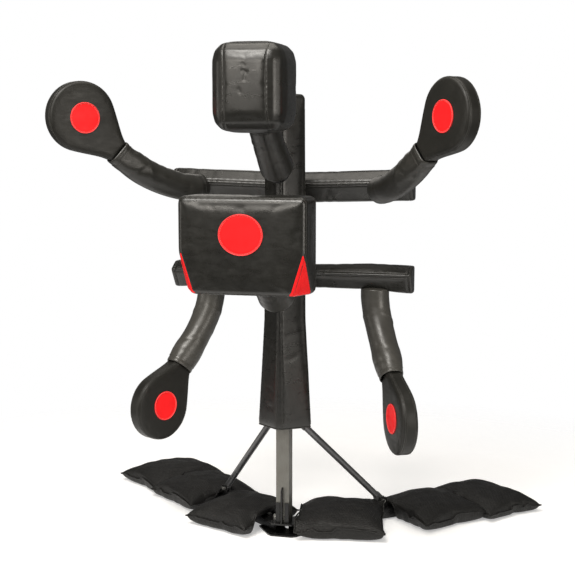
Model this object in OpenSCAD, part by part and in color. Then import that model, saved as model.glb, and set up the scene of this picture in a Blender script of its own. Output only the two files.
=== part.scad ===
// Body opponent mannequin: padded post with two padded crossbars, and a sprung
// head, torso pad, two arm paddles and two leg paddles, on a V-shaped steel base
// held down by sandbags. Millimetres, +Z up, origin on the floor under the post,
// the opponent's front faces -Y.

/* [Post] */
// Side of the square post tube
post_w = 50; // [50:1:52]
// Height of the post's top end above the floor
post_top = 1600; // [1580:5:1605]
// Wall of the post and crossbar tubes
tube_wall = 3; // [2:0.5:4]

/* [Base] */
// Angle between each base leg and the straight-back direction
leg_ang = 49; // [47:1:51]
// Distance from the hub centre to a base leg's end
leg_len = 960; // [940:5:980]
// Height of the base leg tubes
leg_h = 38; // [38:1:38]
// Diameter of the strut tubes
strut_d = 25; // [22:1:26]

/* [Pads] */
// Half width of the spine pad along most of its height
spine_hw = 80; // [78:1:82]
// Half width of the spine pad at its flared bottom
spine_hw_low = 105; // [98:1:108]
// Half length of the crossbar pads
bar_hl = 465; // [455:5:475]
// Width of the torso pad
torso_w = 430; // [420:2:440]
// Height of the torso pad
torso_h = 320; // [320:1:320]
// Width of the head block
head_w = 258; // [250:1:262]
// Height of the head block
head_h = 300; // [295:1:300]

/* [Paddles] */
// Radius of a paddle's round head
pad_r = 121; // [114:1:124]
// Thickness of a paddle
pad_t = 64; // [60:1:68]
// Diameter of the round targets on the paddles
target_d = 108; // [90:2:120]

/* [Springs] */
// Wire diameter of the limb and neck springs
wire_d = 6; // [4:0.5:7]
// Number of turns of each spring
turns = 9; // [6:1:10]

/* [Hidden] */

eps = 0.01;
plate_t = 6;
leg_w = 50;
leg_s0 = 30;
leg_z0 = plate_t;
post_z0 = plate_t + leg_h + plate_t;
dir_leg = [sin(leg_ang), cos(leg_ang), 0];

// strut ends: pivot on the base leg and pivot on the collar under the spine pad
st_b = [425 * sin(leg_ang), 425 * cos(leg_ang), 74];
st_t = [52, 22, 432];

// crossbars: tube centre lines
bar_y = 100;
bar_tube = 38;
up_z = 1300;
lo_z = 970;
bolt_z = [up_z-26, up_z-8, lo_z-18, lo_z+18]; // bolts through the post
mount_ax = 346; // arm mount offset from the post
mount_lx = 319; // leg mount offset from the post

cup_r = 36;
cup_h = 26;

function unit(v) = v / norm(v);
function lerp(a, b, t) = a + (b - a) * t;
function bez(P, t) = pow(1-t,3)*P[0] + 3*pow(1-t,2)*t*P[1] + 3*(1-t)*t*t*P[2] + pow(t,3)*P[3];
function bezd(P, t) = unit(3*pow(1-t,2)*(P[1]-P[0]) + 6*(1-t)*t*(P[2]-P[1]) + 3*t*t*(P[3]-P[2]));
function path(a, da, b, db) = let(L = norm(b - a)) [a, a + da*L/3, b - db*L/3, b];

// limb frames, right side: rotation about Z that turns the face, and in-plane lean of the long axis
arm_rz = -45; arm_ry = 47.5;
leg_rz = -62; leg_ry = 143.3;
arm_c = [650, -334, 1559];
leg_c = [456, -109, 487];
neck_len = 190;
function axis_of(rz, ry) = [sin(ry)*cos(rz), sin(ry)*sin(rz), cos(ry)];
arm_u = axis_of(arm_rz, arm_ry);
leg_u = axis_of(leg_rz, leg_ry);
arm_j = arm_c - neck_len*arm_u;
leg_j = leg_c - neck_len*leg_u;

// root points and directions of the sprung limbs
arm_p0 = [mount_ax, 30, 1298];      arm_d0 = unit([0.52, -0.85, 0.08]);
leg_p0 = [mount_lx, 112, 905];      leg_d0 = unit([0.04, 0, -1]);
neck_p0 = [0, -66, 1352];           neck_d0 = [0, -cos(37), sin(37)];
neck_j  = [0, -289, 1534];          neck_d1 = [0, -cos(42), sin(42)];
tor_p0 = [0, -66, 888];             tor_d0 = [0, -cos(36), sin(36)];
tor_j  = [0, -395, 1098];           tor_d1 = [0, -cos(26), sin(26)];

arm_path = path(arm_p0, arm_d0, arm_j, arm_u);
leg_path = path(leg_p0, leg_d0, leg_j, leg_u);
neck_path = path(neck_p0, neck_d0, neck_j, neck_d1);
tor_path = path(tor_p0, tor_d0, tor_j, tor_d1);
function spring_path(p0, d0, j, u) = path(p0 + 10*d0, d0, j - 10.5*u, u);
// reference directions that keep the coil and sleeve rings from twisting
ref_x = [1, 0.04, 0.03];
ref_z = [0.17, 0.21, 0.96];

module along(p, d) {
  translate(p) rotate([0, acos(d[2]/norm(d)), atan2(d[1], d[0])]) children();
}
module rod(a, b, r) along(a, b - a) cylinder(r = r, h = norm(b - a), $fn = 32);

// square tube along +X, centred
module tube_x(len, w, t) {
  difference() {
    cube([len, w, w], center = true);
    cube([len + 1, w - 2*t, w - 2*t], center = true);
  }
}

// swept coil round a curved centre line
module coil(P, R, r, n, ref) {
  segs = n * 12; sides = 6;
  pts = [for (i = [0:segs]) let(
      t = i/segs, T = bezd(P, t), N = unit(cross(T, ref)), B = cross(T, N),
      a = 360*n*t, e = cos(a)*N + sin(a)*B, c = bez(P, t) + R*e)
      for (k = [0:sides-1]) c + r*(cos(360*k/sides)*e + sin(360*k/sides)*T)];
  faces = concat(
    [for (i = [0:segs-1], k = [0:sides-1]) let(a = i*sides+k, b = i*sides+(k+1)%sides)
       each [[a, b, b+sides], [a, b+sides, a+sides]]],
    [[for (k = [sides-1:-1:0]) k]],
    [[for (k = [0:sides-1]) segs*sides + k]]);
  polyhedron(points = pts, faces = faces, convexity = 8);
}

// bent tubular sleeve round a curved centre line, radius varies linearly
module sleeve(P, r0, r1, wall, ref) {
  segs = 8; sides = 20;
  function ring(t, r) = let(T = bezd(P, t), N = unit(cross(T, ref)), B = cross(T, N), c = bez(P, t))
    [for (k = [0:sides-1]) c + r*(cos(360*k/sides)*N + sin(360*k/sides)*B)];
  pts = concat([for (i = [0:segs]) each ring(i/segs, lerp(r0, r1, i/segs))],
               [for (i = [0:segs]) each ring(i/segs, lerp(r0, r1, i/segs) - wall)]);
  o = (segs+1)*sides;
  faces = concat(
    [for (i = [0:segs-1], k = [0:sides-1]) let(a = i*sides+k, b = i*sides+(k+1)%sides)
       each [[a, b, b+sides], [a, b+sides, a+sides]]],
    [for (i = [0:segs-1], k = [0:sides-1]) let(a = o+i*sides+k, b = o+i*sides+(k+1)%sides)
       each [[a, a+sides, b+sides], [a, b+sides, b]]],
    [for (k = [0:sides-1]) let(a = k, b = (k+1)%sides) each [[a, o+a, o+b], [a, o+b, b]]],
    [for (k = [0:sides-1]) let(a = segs*sides+k, b = segs*sides+(k+1)%sides) each [[a, b, o+b], [a, o+b, o+a]]]);
  polyhedron(points = pts, faces = faces, convexity = 6);
}

// ---------- base ----------
module hub_outline() polygon([[-40,-46],[40,-46],[56,-34],[114,52],[73,106],[0,44],[-73,106],[-114,52],[-56,-34]]);
module leg_bolt_holes(z, h)
  for (sx = [-1, 1], s = [62, 104])
    translate([sx*s*sin(leg_ang), s*cos(leg_ang), z]) cylinder(d = 10.5, h = h, $fn = 32);

module hub_base_plate() color([0.10,0.10,0.11]) difference() {
  linear_extrude(plate_t) hub_outline();
  leg_bolt_holes(-1, plate_t + 2);
}
module hub_top_plate() color([0.10,0.10,0.11]) difference() {
  translate([0,0,leg_z0+leg_h]) linear_extrude(plate_t) hub_outline();
  leg_bolt_holes(leg_z0+leg_h-1, plate_t + 2);
}
module leg_box(s0, s1, w, z0, h)
  rotate([0,0,90-leg_ang]) translate([s0, -w/2, z0]) cube([s1-s0, w, h]);
module base_leg_right() color([0.10,0.10,0.11]) difference() {
  leg_box(leg_s0, leg_len, leg_w, leg_z0, leg_h);
  leg_box(leg_s0-1, leg_len+1, leg_w-2*tube_wall, leg_z0+tube_wall, leg_h-2*tube_wall);
  leg_bolt_holes(leg_z0-1, leg_h+2);
}
module base_leg_left() mirror([1,0,0]) base_leg_right();
module end_cap_right() {
  leg_box(leg_len, leg_len+8, leg_w+4, 0, leg_z0+leg_h+1);
  leg_box(leg_len-40, leg_len+eps, leg_w+4, 0, leg_z0);
  leg_box(leg_len-30, leg_len+eps, leg_w-2*tube_wall-0.4, leg_z0+tube_wall+0.2, leg_h-2*tube_wall-0.4);
}
module leg_end_caps() color([0.05,0.05,0.05]) { end_cap_right(); mirror([1,0,0]) end_cap_right(); }
module hub_bolts() color([0.6,0.6,0.62]) for (sx = [-1, 1], s = [62, 104])
  translate([sx*s*sin(leg_ang), s*cos(leg_ang), 0]) {
    translate([0,0,0.5]) cylinder(d = 10, h = leg_h + 2*plate_t + 9, $fn = 32);
    translate([0,0,post_z0]) cylinder(d = 20, h = 2, $fn = 32);
    translate([0,0,post_z0+2]) cylinder(d = 17, h = 7, $fn = 6);
  }
module post_gussets() color([0.12,0.12,0.13]) {
  // front fin
  translate([-3, 0, post_z0]) rotate([90,0,90]) linear_extrude(6)
    polygon([[-post_w/2,0],[-45,0],[-45,96],[-40,126],[-post_w/2,136]]);
  // flat tabs either side of the fin
  for (sx = [-1, 1]) translate([sx*17-8, -post_w/2-6, post_z0]) cube([16, 6, 76]);
  // rear fin between the legs
  translate([-3, 0, post_z0]) rotate([90,0,90]) linear_extrude(6)
    polygon([[post_w/2,0],[40,0],[40,20],[post_w/2,100]]);
}

// strut along its own line with flattened, drilled ends
st_dir = unit(st_t - st_b);
st_side = unit(cross(st_dir, [0,0,1]));
module strut_at(p, d) {
  // local frame: X along the strut, Y along the bolt
  translate(p) rotate([0,0,atan2(d[1], d[0])]) rotate([0,-asin(d[2]),0]) children();
}
st_len = norm(st_t - st_b);
module strut_right() color([0.09,0.09,0.10]) strut_at(st_b, st_dir) difference() {
  union() {
    translate([34,0,0]) rotate([0,90,0]) cylinder(d = strut_d, h = st_len-68, $fn = 40);
    for (x = [0, st_len]) translate([x,0,0]) rotate([90,0,0]) cylinder(r = 15, h = 8, center = true, $fn = 40);
    translate([0,-4,-15]) cube([40,8,30]);
    translate([st_len-40,-4,-15]) cube([40,8,30]);
  }
  for (x = [0, st_len]) translate([x,0,0]) rotate([90,0,0]) cylinder(d = 10.4, h = 20, center = true, $fn = 32);
}
module strut_left() mirror([1,0,0]) strut_right();
module foot_bracket() strut_at([st_b[0], st_b[1], 0], [st_dir[0], st_dir[1], 0]/norm([st_dir[0], st_dir[1]])) {
  difference() {
    union() {
      translate([-32,-22,leg_z0+leg_h]) cube([64,44,4]);
      for (sy = [-1,1]) translate([0, sy*7, 0]) rotate([90,0,0]) linear_extrude(5, center = true)
        polygon([[-32,leg_z0+leg_h],[32,leg_z0+leg_h],[14,st_b[2]+14],[-14,st_b[2]+14]]);
    }
    translate([0,0,st_b[2]]) rotate([90,0,0]) cylinder(d = 10.4, h = 60, center = true, $fn = 32);
  }
}
module strut_foot_brackets() color([0.10,0.10,0.11]) { foot_bracket(); mirror([1,0,0]) foot_bracket(); }
module pivot_bolt(len) rotate([90,0,0]) {
  cylinder(d = 10, h = len, center = true, $fn = 32);
  translate([0,0,len/2-eps]) cylinder(d = 17, h = 6, $fn = 6);
  translate([0,0,-len/2-8+eps]) cylinder(d = 17, h = 8, $fn = 6);
}
module side_bolts() {
  strut_at(st_b, [st_dir[0], st_dir[1], 0]/norm([st_dir[0], st_dir[1]])) pivot_bolt(19.2);
  strut_at(st_t, [st_dir[0], st_dir[1], 0]/norm([st_dir[0], st_dir[1]])) pivot_bolt(19.2);
}
module strut_bolts() color([0.6,0.6,0.62]) { side_bolts(); mirror([1,0,0]) side_bolts(); }

// ---------- post ----------
module post() color([0.42,0.42,0.41]) difference() {
  translate([-post_w/2,-post_w/2,post_z0]) cube([post_w,post_w,post_top-post_z0]);
  translate([-post_w/2+tube_wall,-post_w/2+tube_wall,post_z0-1]) cube([post_w-2*tube_wall,post_w-2*tube_wall,post_top-post_z0+2]);
  for (z = bolt_z) translate([0,0,z]) rotate([90,0,0]) cylinder(d = 8.4, h = 80, center = true, $fn = 32);
}
module collar_ears() for (sy = [-1,1])
  strut_at(st_t, [st_dir[0], st_dir[1], 0]/norm([st_dir[0], st_dir[1]])) difference() {
    translate([-14, sy*7-2.5, -14]) cube([50, 5, 28]);
    rotate([90,0,0]) cylinder(d = 10.4, h = 60, center = true, $fn = 32);
  }
module strut_collar() color([0.10,0.10,0.11]) difference() {
  union() {
    translate([-post_w/2-5.3,-post_w/2-5.3,st_t[2]-18]) cube([post_w+10.6,post_w+10.6,36]);
    collar_ears(); mirror([1,0,0]) collar_ears();
  }
  translate([-post_w/2-0.05,-post_w/2-0.05,st_t[2]-40]) cube([post_w+0.1,post_w+0.1,80]);
}

// ---------- spine pad ----------
module spine_slice(z, hw, rw, yf) translate([0,0,z]) linear_extrude(1)
  polygon([[-hw,14],[-hw+14,31],[hw-14,31],[hw,14],[hw,4],[rw,yf],[-rw,yf],[-hw,4]]);
module spine_pad() color([0.08,0.08,0.075]) difference() {
  union() {
    hull() { spine_slice(408, spine_hw_low, 10, -72); spine_slice(820, spine_hw+2, 5, -70); }
    hull() { spine_slice(820, spine_hw+2, 5, -70); spine_slice(1622, spine_hw-2, 5, -66);
             translate([0,0,20]) spine_slice(1622, spine_hw-18, 4, -50); }
  }
  // channel for the post
  translate([-post_w/2-0.3,-post_w/2-0.3,300]) cube([post_w+0.6,post_w+0.6,post_top+1-300]);
  // open skirt round the strut collar
  hull() {
    translate([0,-6,0]) spine_slice(400, spine_hw_low-12, 6, -50);
    translate([0,-6,0]) spine_slice(470, spine_hw_low-16, 6, -50);
  }
  translate([-92,20,400]) cube([184,20,66]);
  // openings at the back for the crossbar brackets
  for (z = [up_z, lo_z]) translate([-48,24,z-37]) cube([96,10,74]);
  // front openings for the neck and torso mounts
  for (m = [[neck_p0, neck_d0], [tor_p0, tor_d0]]) {
    translate([-26,-post_w/2-7,m[0][2]-62]) cube([52,8,72]);
    along(m[0] - 46*m[1], m[1]) cylinder(r = 41, h = 140, $fn = 48);
    along(m[0] - 66*m[1], m[1]) cylinder(r = 18.5, h = 30, $fn = 40);
  }
  // clearance for the crossbar bolts
  for (z = bolt_z) translate([0,-22,z]) rotate([90,0,0]) cylinder(d = 22, h = 18, $fn = 32);
}

// ---------- crossbars ----------
module upper_crossbar() color([0.10,0.10,0.11]) bar_tube_at(up_z);
module lower_crossbar() color([0.10,0.10,0.11]) bar_tube_at(lo_z);
module bar_tube_at(z) difference() {
  translate([0,bar_y,z]) tube_x(2*bar_hl-50, bar_tube, tube_wall);
  for (x = [-38,38]) translate([x,bar_y,z]) rotate([90,0,0]) cylinder(d = 8.4, h = 60, center = true, $fn = 32);
}
module bar_bracket(z) difference() {
  translate([0,0,z]) 
  union() {
    translate([-46,post_w/2,-35]) cube([92,5,70]);
    translate([-50,bar_y-bar_tube/2-5,-30]) cube([100,5,60]);
    for (sx = [-1,1]) translate([sx*20-3,post_w/2+5-eps,-30]) cube([6,bar_y-bar_tube/2-post_w/2-10+2*eps,60]);
  }
  for (x = [-38,38]) translate([x,bar_y-20,z]) rotate([90,0,0]) cylinder(d = 8.4, h = 20, center = true, $fn = 32);
  for (bz = bolt_z) translate([0,30,bz]) rotate([90,0,0]) cylinder(d = 8.4, h = 20, center = true, $fn = 32);
}
module crossbar_brackets() color([0.10,0.10,0.11]) { bar_bracket(up_z); bar_bracket(lo_z); }
module y_bolt(y0, y1) {
  translate([0,y1,0]) rotate([90,0,0]) cylinder(d = 8, h = y1-y0, $fn = 32);
  translate([0,y0+eps,0]) rotate([90,0,0]) cylinder(d = 14, h = 5.5, $fn = 6);
  translate([0,y1+6.5-eps,0]) rotate([90,0,0]) cylinder(d = 14, h = 6.5, $fn = 6);
}
module crossbar_bolts() color([0.6,0.6,0.62]) {
  for (z = [up_z, lo_z], x = [-38,38]) translate([x,0,z]) y_bolt(bar_y-bar_tube/2-5, bar_y+bar_tube/2);
  for (z = bolt_z) translate([0,0,z]) y_bolt(-post_w/2, post_w/2+5);
}
// cross-section of a bar pad: ridge in front, flat back
module bar_slice(x, z, up, dn, ridge, yf)
  translate([x-0.5, 0, z]) rotate([90,0,90]) linear_extrude(1)
    polygon([[yf,ridge],[yf+4,ridge+5],[98,up],[138,up],[146,up-9],[146,-dn+9],[138,-dn],[98,-dn],[yf+4,ridge-6]]);
module bar_pocket(z) {
  // bore for the tube
  translate([-bar_hl+20,bar_y-bar_tube/2-0.3,z-bar_tube/2-0.3]) cube([2*bar_hl-40,bar_tube+0.6,bar_tube+0.6]);
  // window behind the post for the bracket and its bolts
  translate([-54,0,z-50]) cube([108,82,100]);
  translate([-54,bar_y,z-12]) cube([108,60,24]);
}
module upper_bar_pad() color([0.08,0.08,0.075]) difference() {
  union() for (sx = [-1,1]) mirror([sx < 0 ? 1 : 0,0,0]) {
    hull() { bar_slice(0.5, up_z, 60, 60, 12, 46); bar_slice(bar_hl-12, up_z+14, 60, 60, 12, 46);
             bar_slice(bar_hl-0.5, up_z+14, 46, 46, 10, 60); }
  }
  bar_pocket(up_z);
  for (sx = [-1,1]) {
    translate([sx*mount_ax-33, bar_y-bar_tube/2-6, up_z-28]) cube([66,8,56]);
    translate([sx*mount_ax, bar_y-10, up_z]) rotate([90,0,0]) cylinder(r = 22, h = 80, $fn = 40);
  }
}
module lower_bar_pad() color([0.08,0.08,0.075]) difference() {
  union() for (sx = [-1,1]) mirror([sx < 0 ? 1 : 0,0,0]) {
    hull() { bar_slice(0.5, lo_z, 44, 44, 16, 46); bar_slice(300, lo_z, 54, 47, 16, 46); }
    hull() { bar_slice(300, lo_z, 54, 47, 16, 46); bar_slice(bar_hl-12, lo_z, 50, 57, 17, 46);
             bar_slice(bar_hl-0.5, lo_z, 38, 44, 14, 60); }
  }
  bar_pocket(lo_z);
  for (sx = [-1,1]) {
    translate([sx*mount_lx-33, bar_y-20, lo_z-bar_tube/2-6]) cube([66,40,8]);
    translate([sx*mount_lx, 108, lo_z-90]) cylinder(r = 20, h = 80, $fn = 40);
  }
}

// ---------- sandbags ----------
module bag_form(cx, cy, ang, w, l, h) translate([cx, cy, 0]) rotate([0,0,ang]) hull() {
  translate([-w/2+34,-l/2+34,0]) cube([w-68,l-68,2]);
  translate([-w/2,-l/2,16]) cube([w,l,10]);
  translate([-w/2+30,-l/2+30,h-30]) cube([w-60,l-60,2]);
  translate([-w/2+80,-l/2+80,h-2]) cube([w-160,l-160,2]);
}
module sandbag(cx, cy, ang, w, l, h) difference() {
  bag_form(cx, cy, ang, w, l, h);
  for (sx = [-1,1]) mirror([sx < 0 ? 1 : 0,0,0]) {
    leg_box(-10, leg_len+12, leg_w+8, -1, leg_z0+leg_h+4);
    rotate([0,0,90-leg_ang]) translate([425-40,-28,-1]) cube([80,56,140]);
  }
  // room round the hub and the post
  translate([0,0,-1]) linear_extrude(post_z0+14) offset(delta = 2) hub_outline();
  translate([-40,-70,-1]) cube([80,140,200]);
}
module sandbag_right_inner() color([0.07,0.07,0.07]) sandbag(197, 108, 10, 336, 344, 106);
module sandbag_right_middle() color([0.07,0.07,0.07]) sandbag(514, 362, 48.7, 288, 340, 96);
module sandbag_right_outer() color([0.07,0.07,0.07]) difference() {
  sandbag(692, 556, 49, 262, 390, 84);
  // pressed in where it meets its neighbour
  bag_form(514, 362, 48.7, 290, 342, 98);
}
module sandbag_left_inner() color([0.07,0.07,0.07]) sandbag(-208, 98, -24, 306, 330, 104);
module sandbag_left_middle() color([0.07,0.07,0.07]) sandbag(-440, 357, -39, 304, 325, 96);
module sandbag_left_outer() color([0.07,0.07,0.07]) sandbag(-668, 584, -40, 292, 372, 84);

// ---------- spring mounts ----------
module seat(p0, d0) along(p0, d0) difference() {
  cylinder(r = cup_r, h = cup_h, $fn = 48);
  translate([0,0,6]) cylinder(r = cup_r-4, h = cup_h, $fn = 48);
}
module spine_mount(p0, d0) {
  translate([-25,-post_w/2-6,p0[2]-40]) cube([50,6,48]);
  difference() {
    along(p0 - 60*d0, d0) cylinder(r = 17, h = 61, $fn = 40);
    translate([-40,-post_w/2-3,p0[2]-100]) cube([80,80,200]);
  }
  seat(p0, d0);
}
module neck_mount() color([0.12,0.12,0.13]) spine_mount(neck_p0, neck_d0);
module torso_mount() color([0.12,0.12,0.13]) spine_mount(tor_p0, tor_d0);
module arm_mount() {
  translate([mount_ax-30, bar_y-bar_tube/2-5, up_z-25]) cube([60,5,50]);
  translate([mount_ax, bar_y-bar_tube/2-4, up_z]) rotate([90,0,0]) cylinder(r = 15, h = 50, $fn = 40);
  along(arm_p0 - 16*arm_d0, arm_d0) cylinder(r = 15, h = 17, $fn = 40);
  seat(arm_p0, arm_d0);
}
module arm_mounts() color([0.12,0.12,0.13]) { arm_mount(); mirror([1,0,0]) arm_mount(); }
module leg_mount() {
  translate([mount_lx-30, bar_y-19, lo_z-bar_tube/2-5]) cube([60,38,5]);
  translate([mount_lx, 108, leg_p0[2]-1]) cylinder(r = 14, h = lo_z-bar_tube/2-5-leg_p0[2]+2, $fn = 40);
  seat(leg_p0, leg_d0);
}
module leg_mounts() color([0.12,0.12,0.13]) { leg_mount(); mirror([1,0,0]) leg_mount(); }

// ---------- springs and sleeves ----------
sp = [0.55,0.55,0.56];
module neck_spring() color(sp) coil(spring_path(neck_p0, neck_d0, neck_j, neck_d1), 27, wire_d/2, turns, ref_x);
module torso_spring() color(sp) coil(spring_path(tor_p0, tor_d0, tor_j, tor_d1), 27, wire_d/2, turns+2, ref_x);
module arm_right_spring() color(sp) coil(spring_path(arm_p0, arm_d0, arm_j, arm_u), 27, wire_d/2, turns+1, ref_z);
module arm_left_spring() mirror([1,0,0]) arm_right_spring();
module leg_right_spring() color(sp) coil(spring_path(leg_p0, leg_d0, leg_j, leg_u), 27, wire_d/2, turns, ref_x);
module leg_left_spring() mirror([1,0,0]) leg_right_spring();

sl = [0.09,0.09,0.085];
function sleeve_path(p0, d0, j, u, a, b) = path(p0 + a*d0, d0, j - b*u, u);
module neck_sleeve() color(sl) sleeve(sleeve_path(neck_p0, neck_d0, neck_j, neck_d1, 52, 12), 60, 51, 5, ref_x);
module torso_sleeve() color(sl) sleeve(sleeve_path(tor_p0, tor_d0, tor_j, tor_d1, 53, 31), 63, 60, 5, ref_x);
module arm_right_sleeve() color(sl) sleeve(sleeve_path(arm_p0, arm_d0, arm_j, arm_u, 10, 1), 49, 47, 5, ref_z);
module arm_left_sleeve() mirror([1,0,0]) arm_right_sleeve();
module leg_right_sleeve() color(sl) sleeve(sleeve_path(leg_p0, leg_d0, leg_j, leg_u, 1, 1), 52, 49, 5, ref_x);
module leg_left_sleeve() mirror([1,0,0]) leg_right_sleeve();

// ---------- head ----------
head_c = [0, -380, 1650];
head_d = 250;
head_ch = 54;
module head_core() color([0.35,0.35,0.35]) {
  mirror([0,0,0]) along(neck_j, -neck_d1) difference() {
    cylinder(r = cup_r, h = cup_h, $fn = 48);
    translate([0,0,6]) cylinder(r = cup_r-4, h = cup_h, $fn = 48);
  }
  along(neck_j - eps*neck_d1, neck_d1) cylinder(r = 14, h = 112, $fn = 40);
  translate([-60,-384,1590]) cube([120,8,120]);
}
module head_pad() color([0.09,0.09,0.085]) difference() {
  translate(head_c) hull() {
    cube([head_w, head_d-2*head_ch, head_h-2*head_ch], center = true);
    cube([head_w-2*head_ch, head_d, head_h-2*head_ch], center = true);
    cube([head_w-2*head_ch, head_d-2*head_ch, head_h], center = true);
  }
  along(neck_j - 30*neck_d1, neck_d1) cylinder(r = 14.3, h = 143, $fn = 40);
  along(neck_j - 30*neck_d1, neck_d1) cylinder(r = cup_r+0.5, h = 30.4, $fn = 48);
  translate([-60.2,-384.2,1589.8]) cube([120.4,8.4,120.4]);
}

// ---------- torso ----------
tor_y0 = -548; tor_y1 = -395;
tor_z0 = 978;
tor_zc = tor_z0 + torso_h/2;
module corner_cut(g) {
  hx = torso_w/2 + g;
  polyhedron(points = [[hx+1,tor_y0-1-g,1116+g],[156-g,tor_y0-1-g,tor_z0-1-g],[hx+1,-446+g,tor_z0-1-g],[hx+1,tor_y0-1-g,tor_z0-1-g]],
    faces = [[0,1,2],[0,3,1],[1,3,2],[0,2,3]]);
}
module torso_pad() color([0.09,0.09,0.085]) difference() {
  translate([-torso_w/2,tor_y0,tor_z0]) cube([torso_w,tor_y1-tor_y0,torso_h]);
  corner_cut(0); mirror([1,0,0]) corner_cut(0);
  // recess for the backing board
  translate([-140.2,tor_y1-12,1029.8]) cube([280.4,20,200.4]);
}
module torso_core() color([0.35,0.35,0.35]) {
  translate([-140,tor_y1-12,1030]) cube([280,12,200]);
  difference() {
    union() {
      along(tor_j - cup_h*tor_d1, tor_d1) difference() {
        cylinder(r = cup_r, h = cup_h+14, $fn = 48);
        translate([0,0,-1]) cylinder(r = cup_r-4, h = cup_h-5, $fn = 48);
      }
    }
    translate([-100,tor_y1-100,900]) cube([200,100,400]);
  }
}
module ellipse(a, b) polygon([for (i = [0:71]) [a*cos(i*5), b*sin(i*5)]]);
module torso_red_panels() color([0.78,0.05,0.06]) {
  translate([0,tor_y0,1172]) rotate([90,0,0]) linear_extrude(2) ellipse(76, 68);
  intersection() {
    translate([0,0,0]) difference() { corner_cut(0); corner_shift(); }
    translate([-torso_w/2,tor_y0,tor_z0]) cube([torso_w,tor_y1-tor_y0,torso_h]);
  }
  mirror([1,0,0]) intersection() {
    difference() { corner_cut(0); corner_shift(); }
    translate([-torso_w/2,tor_y0,tor_z0]) cube([torso_w,tor_y1-tor_y0,torso_h]);
  }
}
// the corner wedge moved outwards by the patch's thickness
module corner_shift() translate([1.6,-0.9,-0.6]) corner_cut(0.01);

// ---------- paddles ----------
module limb_frame(c, rz, ry) translate(c) rotate([0,0,rz]) rotate([0,ry,0]) children();
neck_hw = 42;
module paddle_outline() {
  circle(r = pad_r, $fn = 96);
  d = norm([neck_len, neck_hw]);
  a0 = atan2(-neck_len, neck_hw);
  ta = a0 + acos(pad_r/d);
  polygon([[-neck_hw,-neck_len],[neck_hw,-neck_len],[pad_r*cos(ta),pad_r*sin(ta)],[-pad_r*cos(ta),pad_r*sin(ta)]]);
}
// drawn with the long axis on +Z and the face on -Y
module paddle() difference() {
  translate([0,pad_t/2,0]) rotate([90,0,0]) linear_extrude(pad_t) paddle_outline();
  translate([-20.2,-3.2,-neck_len-1]) cube([40.4,6.4,neck_len+61.2]);
}
module core() {
  translate([-20,-3,-neck_len-6]) cube([40,6,neck_len+66]);
  translate([0,0,-neck_len-cup_h-0.5]) difference() {
    cylinder(r = cup_r, h = cup_h, $fn = 48);
    translate([0,0,-1]) cylinder(r = cup_r-4, h = cup_h-5, $fn = 48);
  }
}
module target() translate([0,-pad_t/2,-8]) rotate([90,0,0]) cylinder(d = target_d, h = 1.6, $fn = 72);

module arm_right_core() color([0.35,0.35,0.35]) limb_frame(arm_c, arm_rz, arm_ry) core();
module arm_left_core() mirror([1,0,0]) arm_right_core();
module arm_right_paddle() color([0.09,0.09,0.085]) limb_frame(arm_c, arm_rz, arm_ry) paddle();
module arm_left_paddle() mirror([1,0,0]) arm_right_paddle();
module arm_right_target() color([0.78,0.05,0.06]) limb_frame(arm_c, arm_rz, arm_ry) target();
module arm_left_target() mirror([1,0,0]) arm_right_target();
module leg_right_core() color([0.35,0.35,0.35]) limb_frame(leg_c, leg_rz, leg_ry) core();
module leg_left_core() mirror([1,0,0]) leg_right_core();
module leg_right_paddle() color([0.09,0.09,0.085]) limb_frame(leg_c, leg_rz, leg_ry) paddle();
module leg_left_paddle() mirror([1,0,0]) leg_right_paddle();
module leg_right_target() color([0.78,0.05,0.06]) limb_frame(leg_c, leg_rz, leg_ry) target();
module leg_left_target() mirror([1,0,0]) leg_right_target();

hub_base_plate();
hub_top_plate();
base_leg_left();
base_leg_right();
leg_end_caps();
hub_bolts();
post_gussets();
strut_left();
strut_right();
strut_foot_brackets();
strut_bolts();
post();
strut_collar();
spine_pad();
upper_crossbar();
lower_crossbar();
crossbar_brackets();
crossbar_bolts();
upper_bar_pad();
lower_bar_pad();
sandbag_right_inner();
sandbag_right_middle();
sandbag_right_outer();
sandbag_left_inner();
sandbag_left_middle();
sandbag_left_outer();
neck_mount();
torso_mount();
arm_mounts();
leg_mounts();
neck_spring();
torso_spring();
arm_left_spring();
arm_right_spring();
leg_left_spring();
leg_right_spring();
neck_sleeve();
torso_sleeve();
arm_left_sleeve();
arm_right_sleeve();
leg_left_sleeve();
leg_right_sleeve();
head_core();
head_pad();
torso_core();
torso_pad();
torso_red_panels();
arm_left_core();
arm_left_paddle();
arm_left_target();
arm_right_core();
arm_right_paddle();
arm_right_target();
leg_left_core();
leg_left_paddle();
leg_left_target();
leg_right_core();
leg_right_paddle();
leg_right_target();
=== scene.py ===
"""Body opponent mannequin: padded post, sprung head, torso, arms and legs.

Every length is in metres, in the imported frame: origin on the floor under the
post, +Z up, the mannequin faces -Y.
"""
import math

import bmesh
import bpy
import numpy as np
from mathutils import Matrix, Vector, noise
from mathutils.bvhtree import BVHTree


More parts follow.
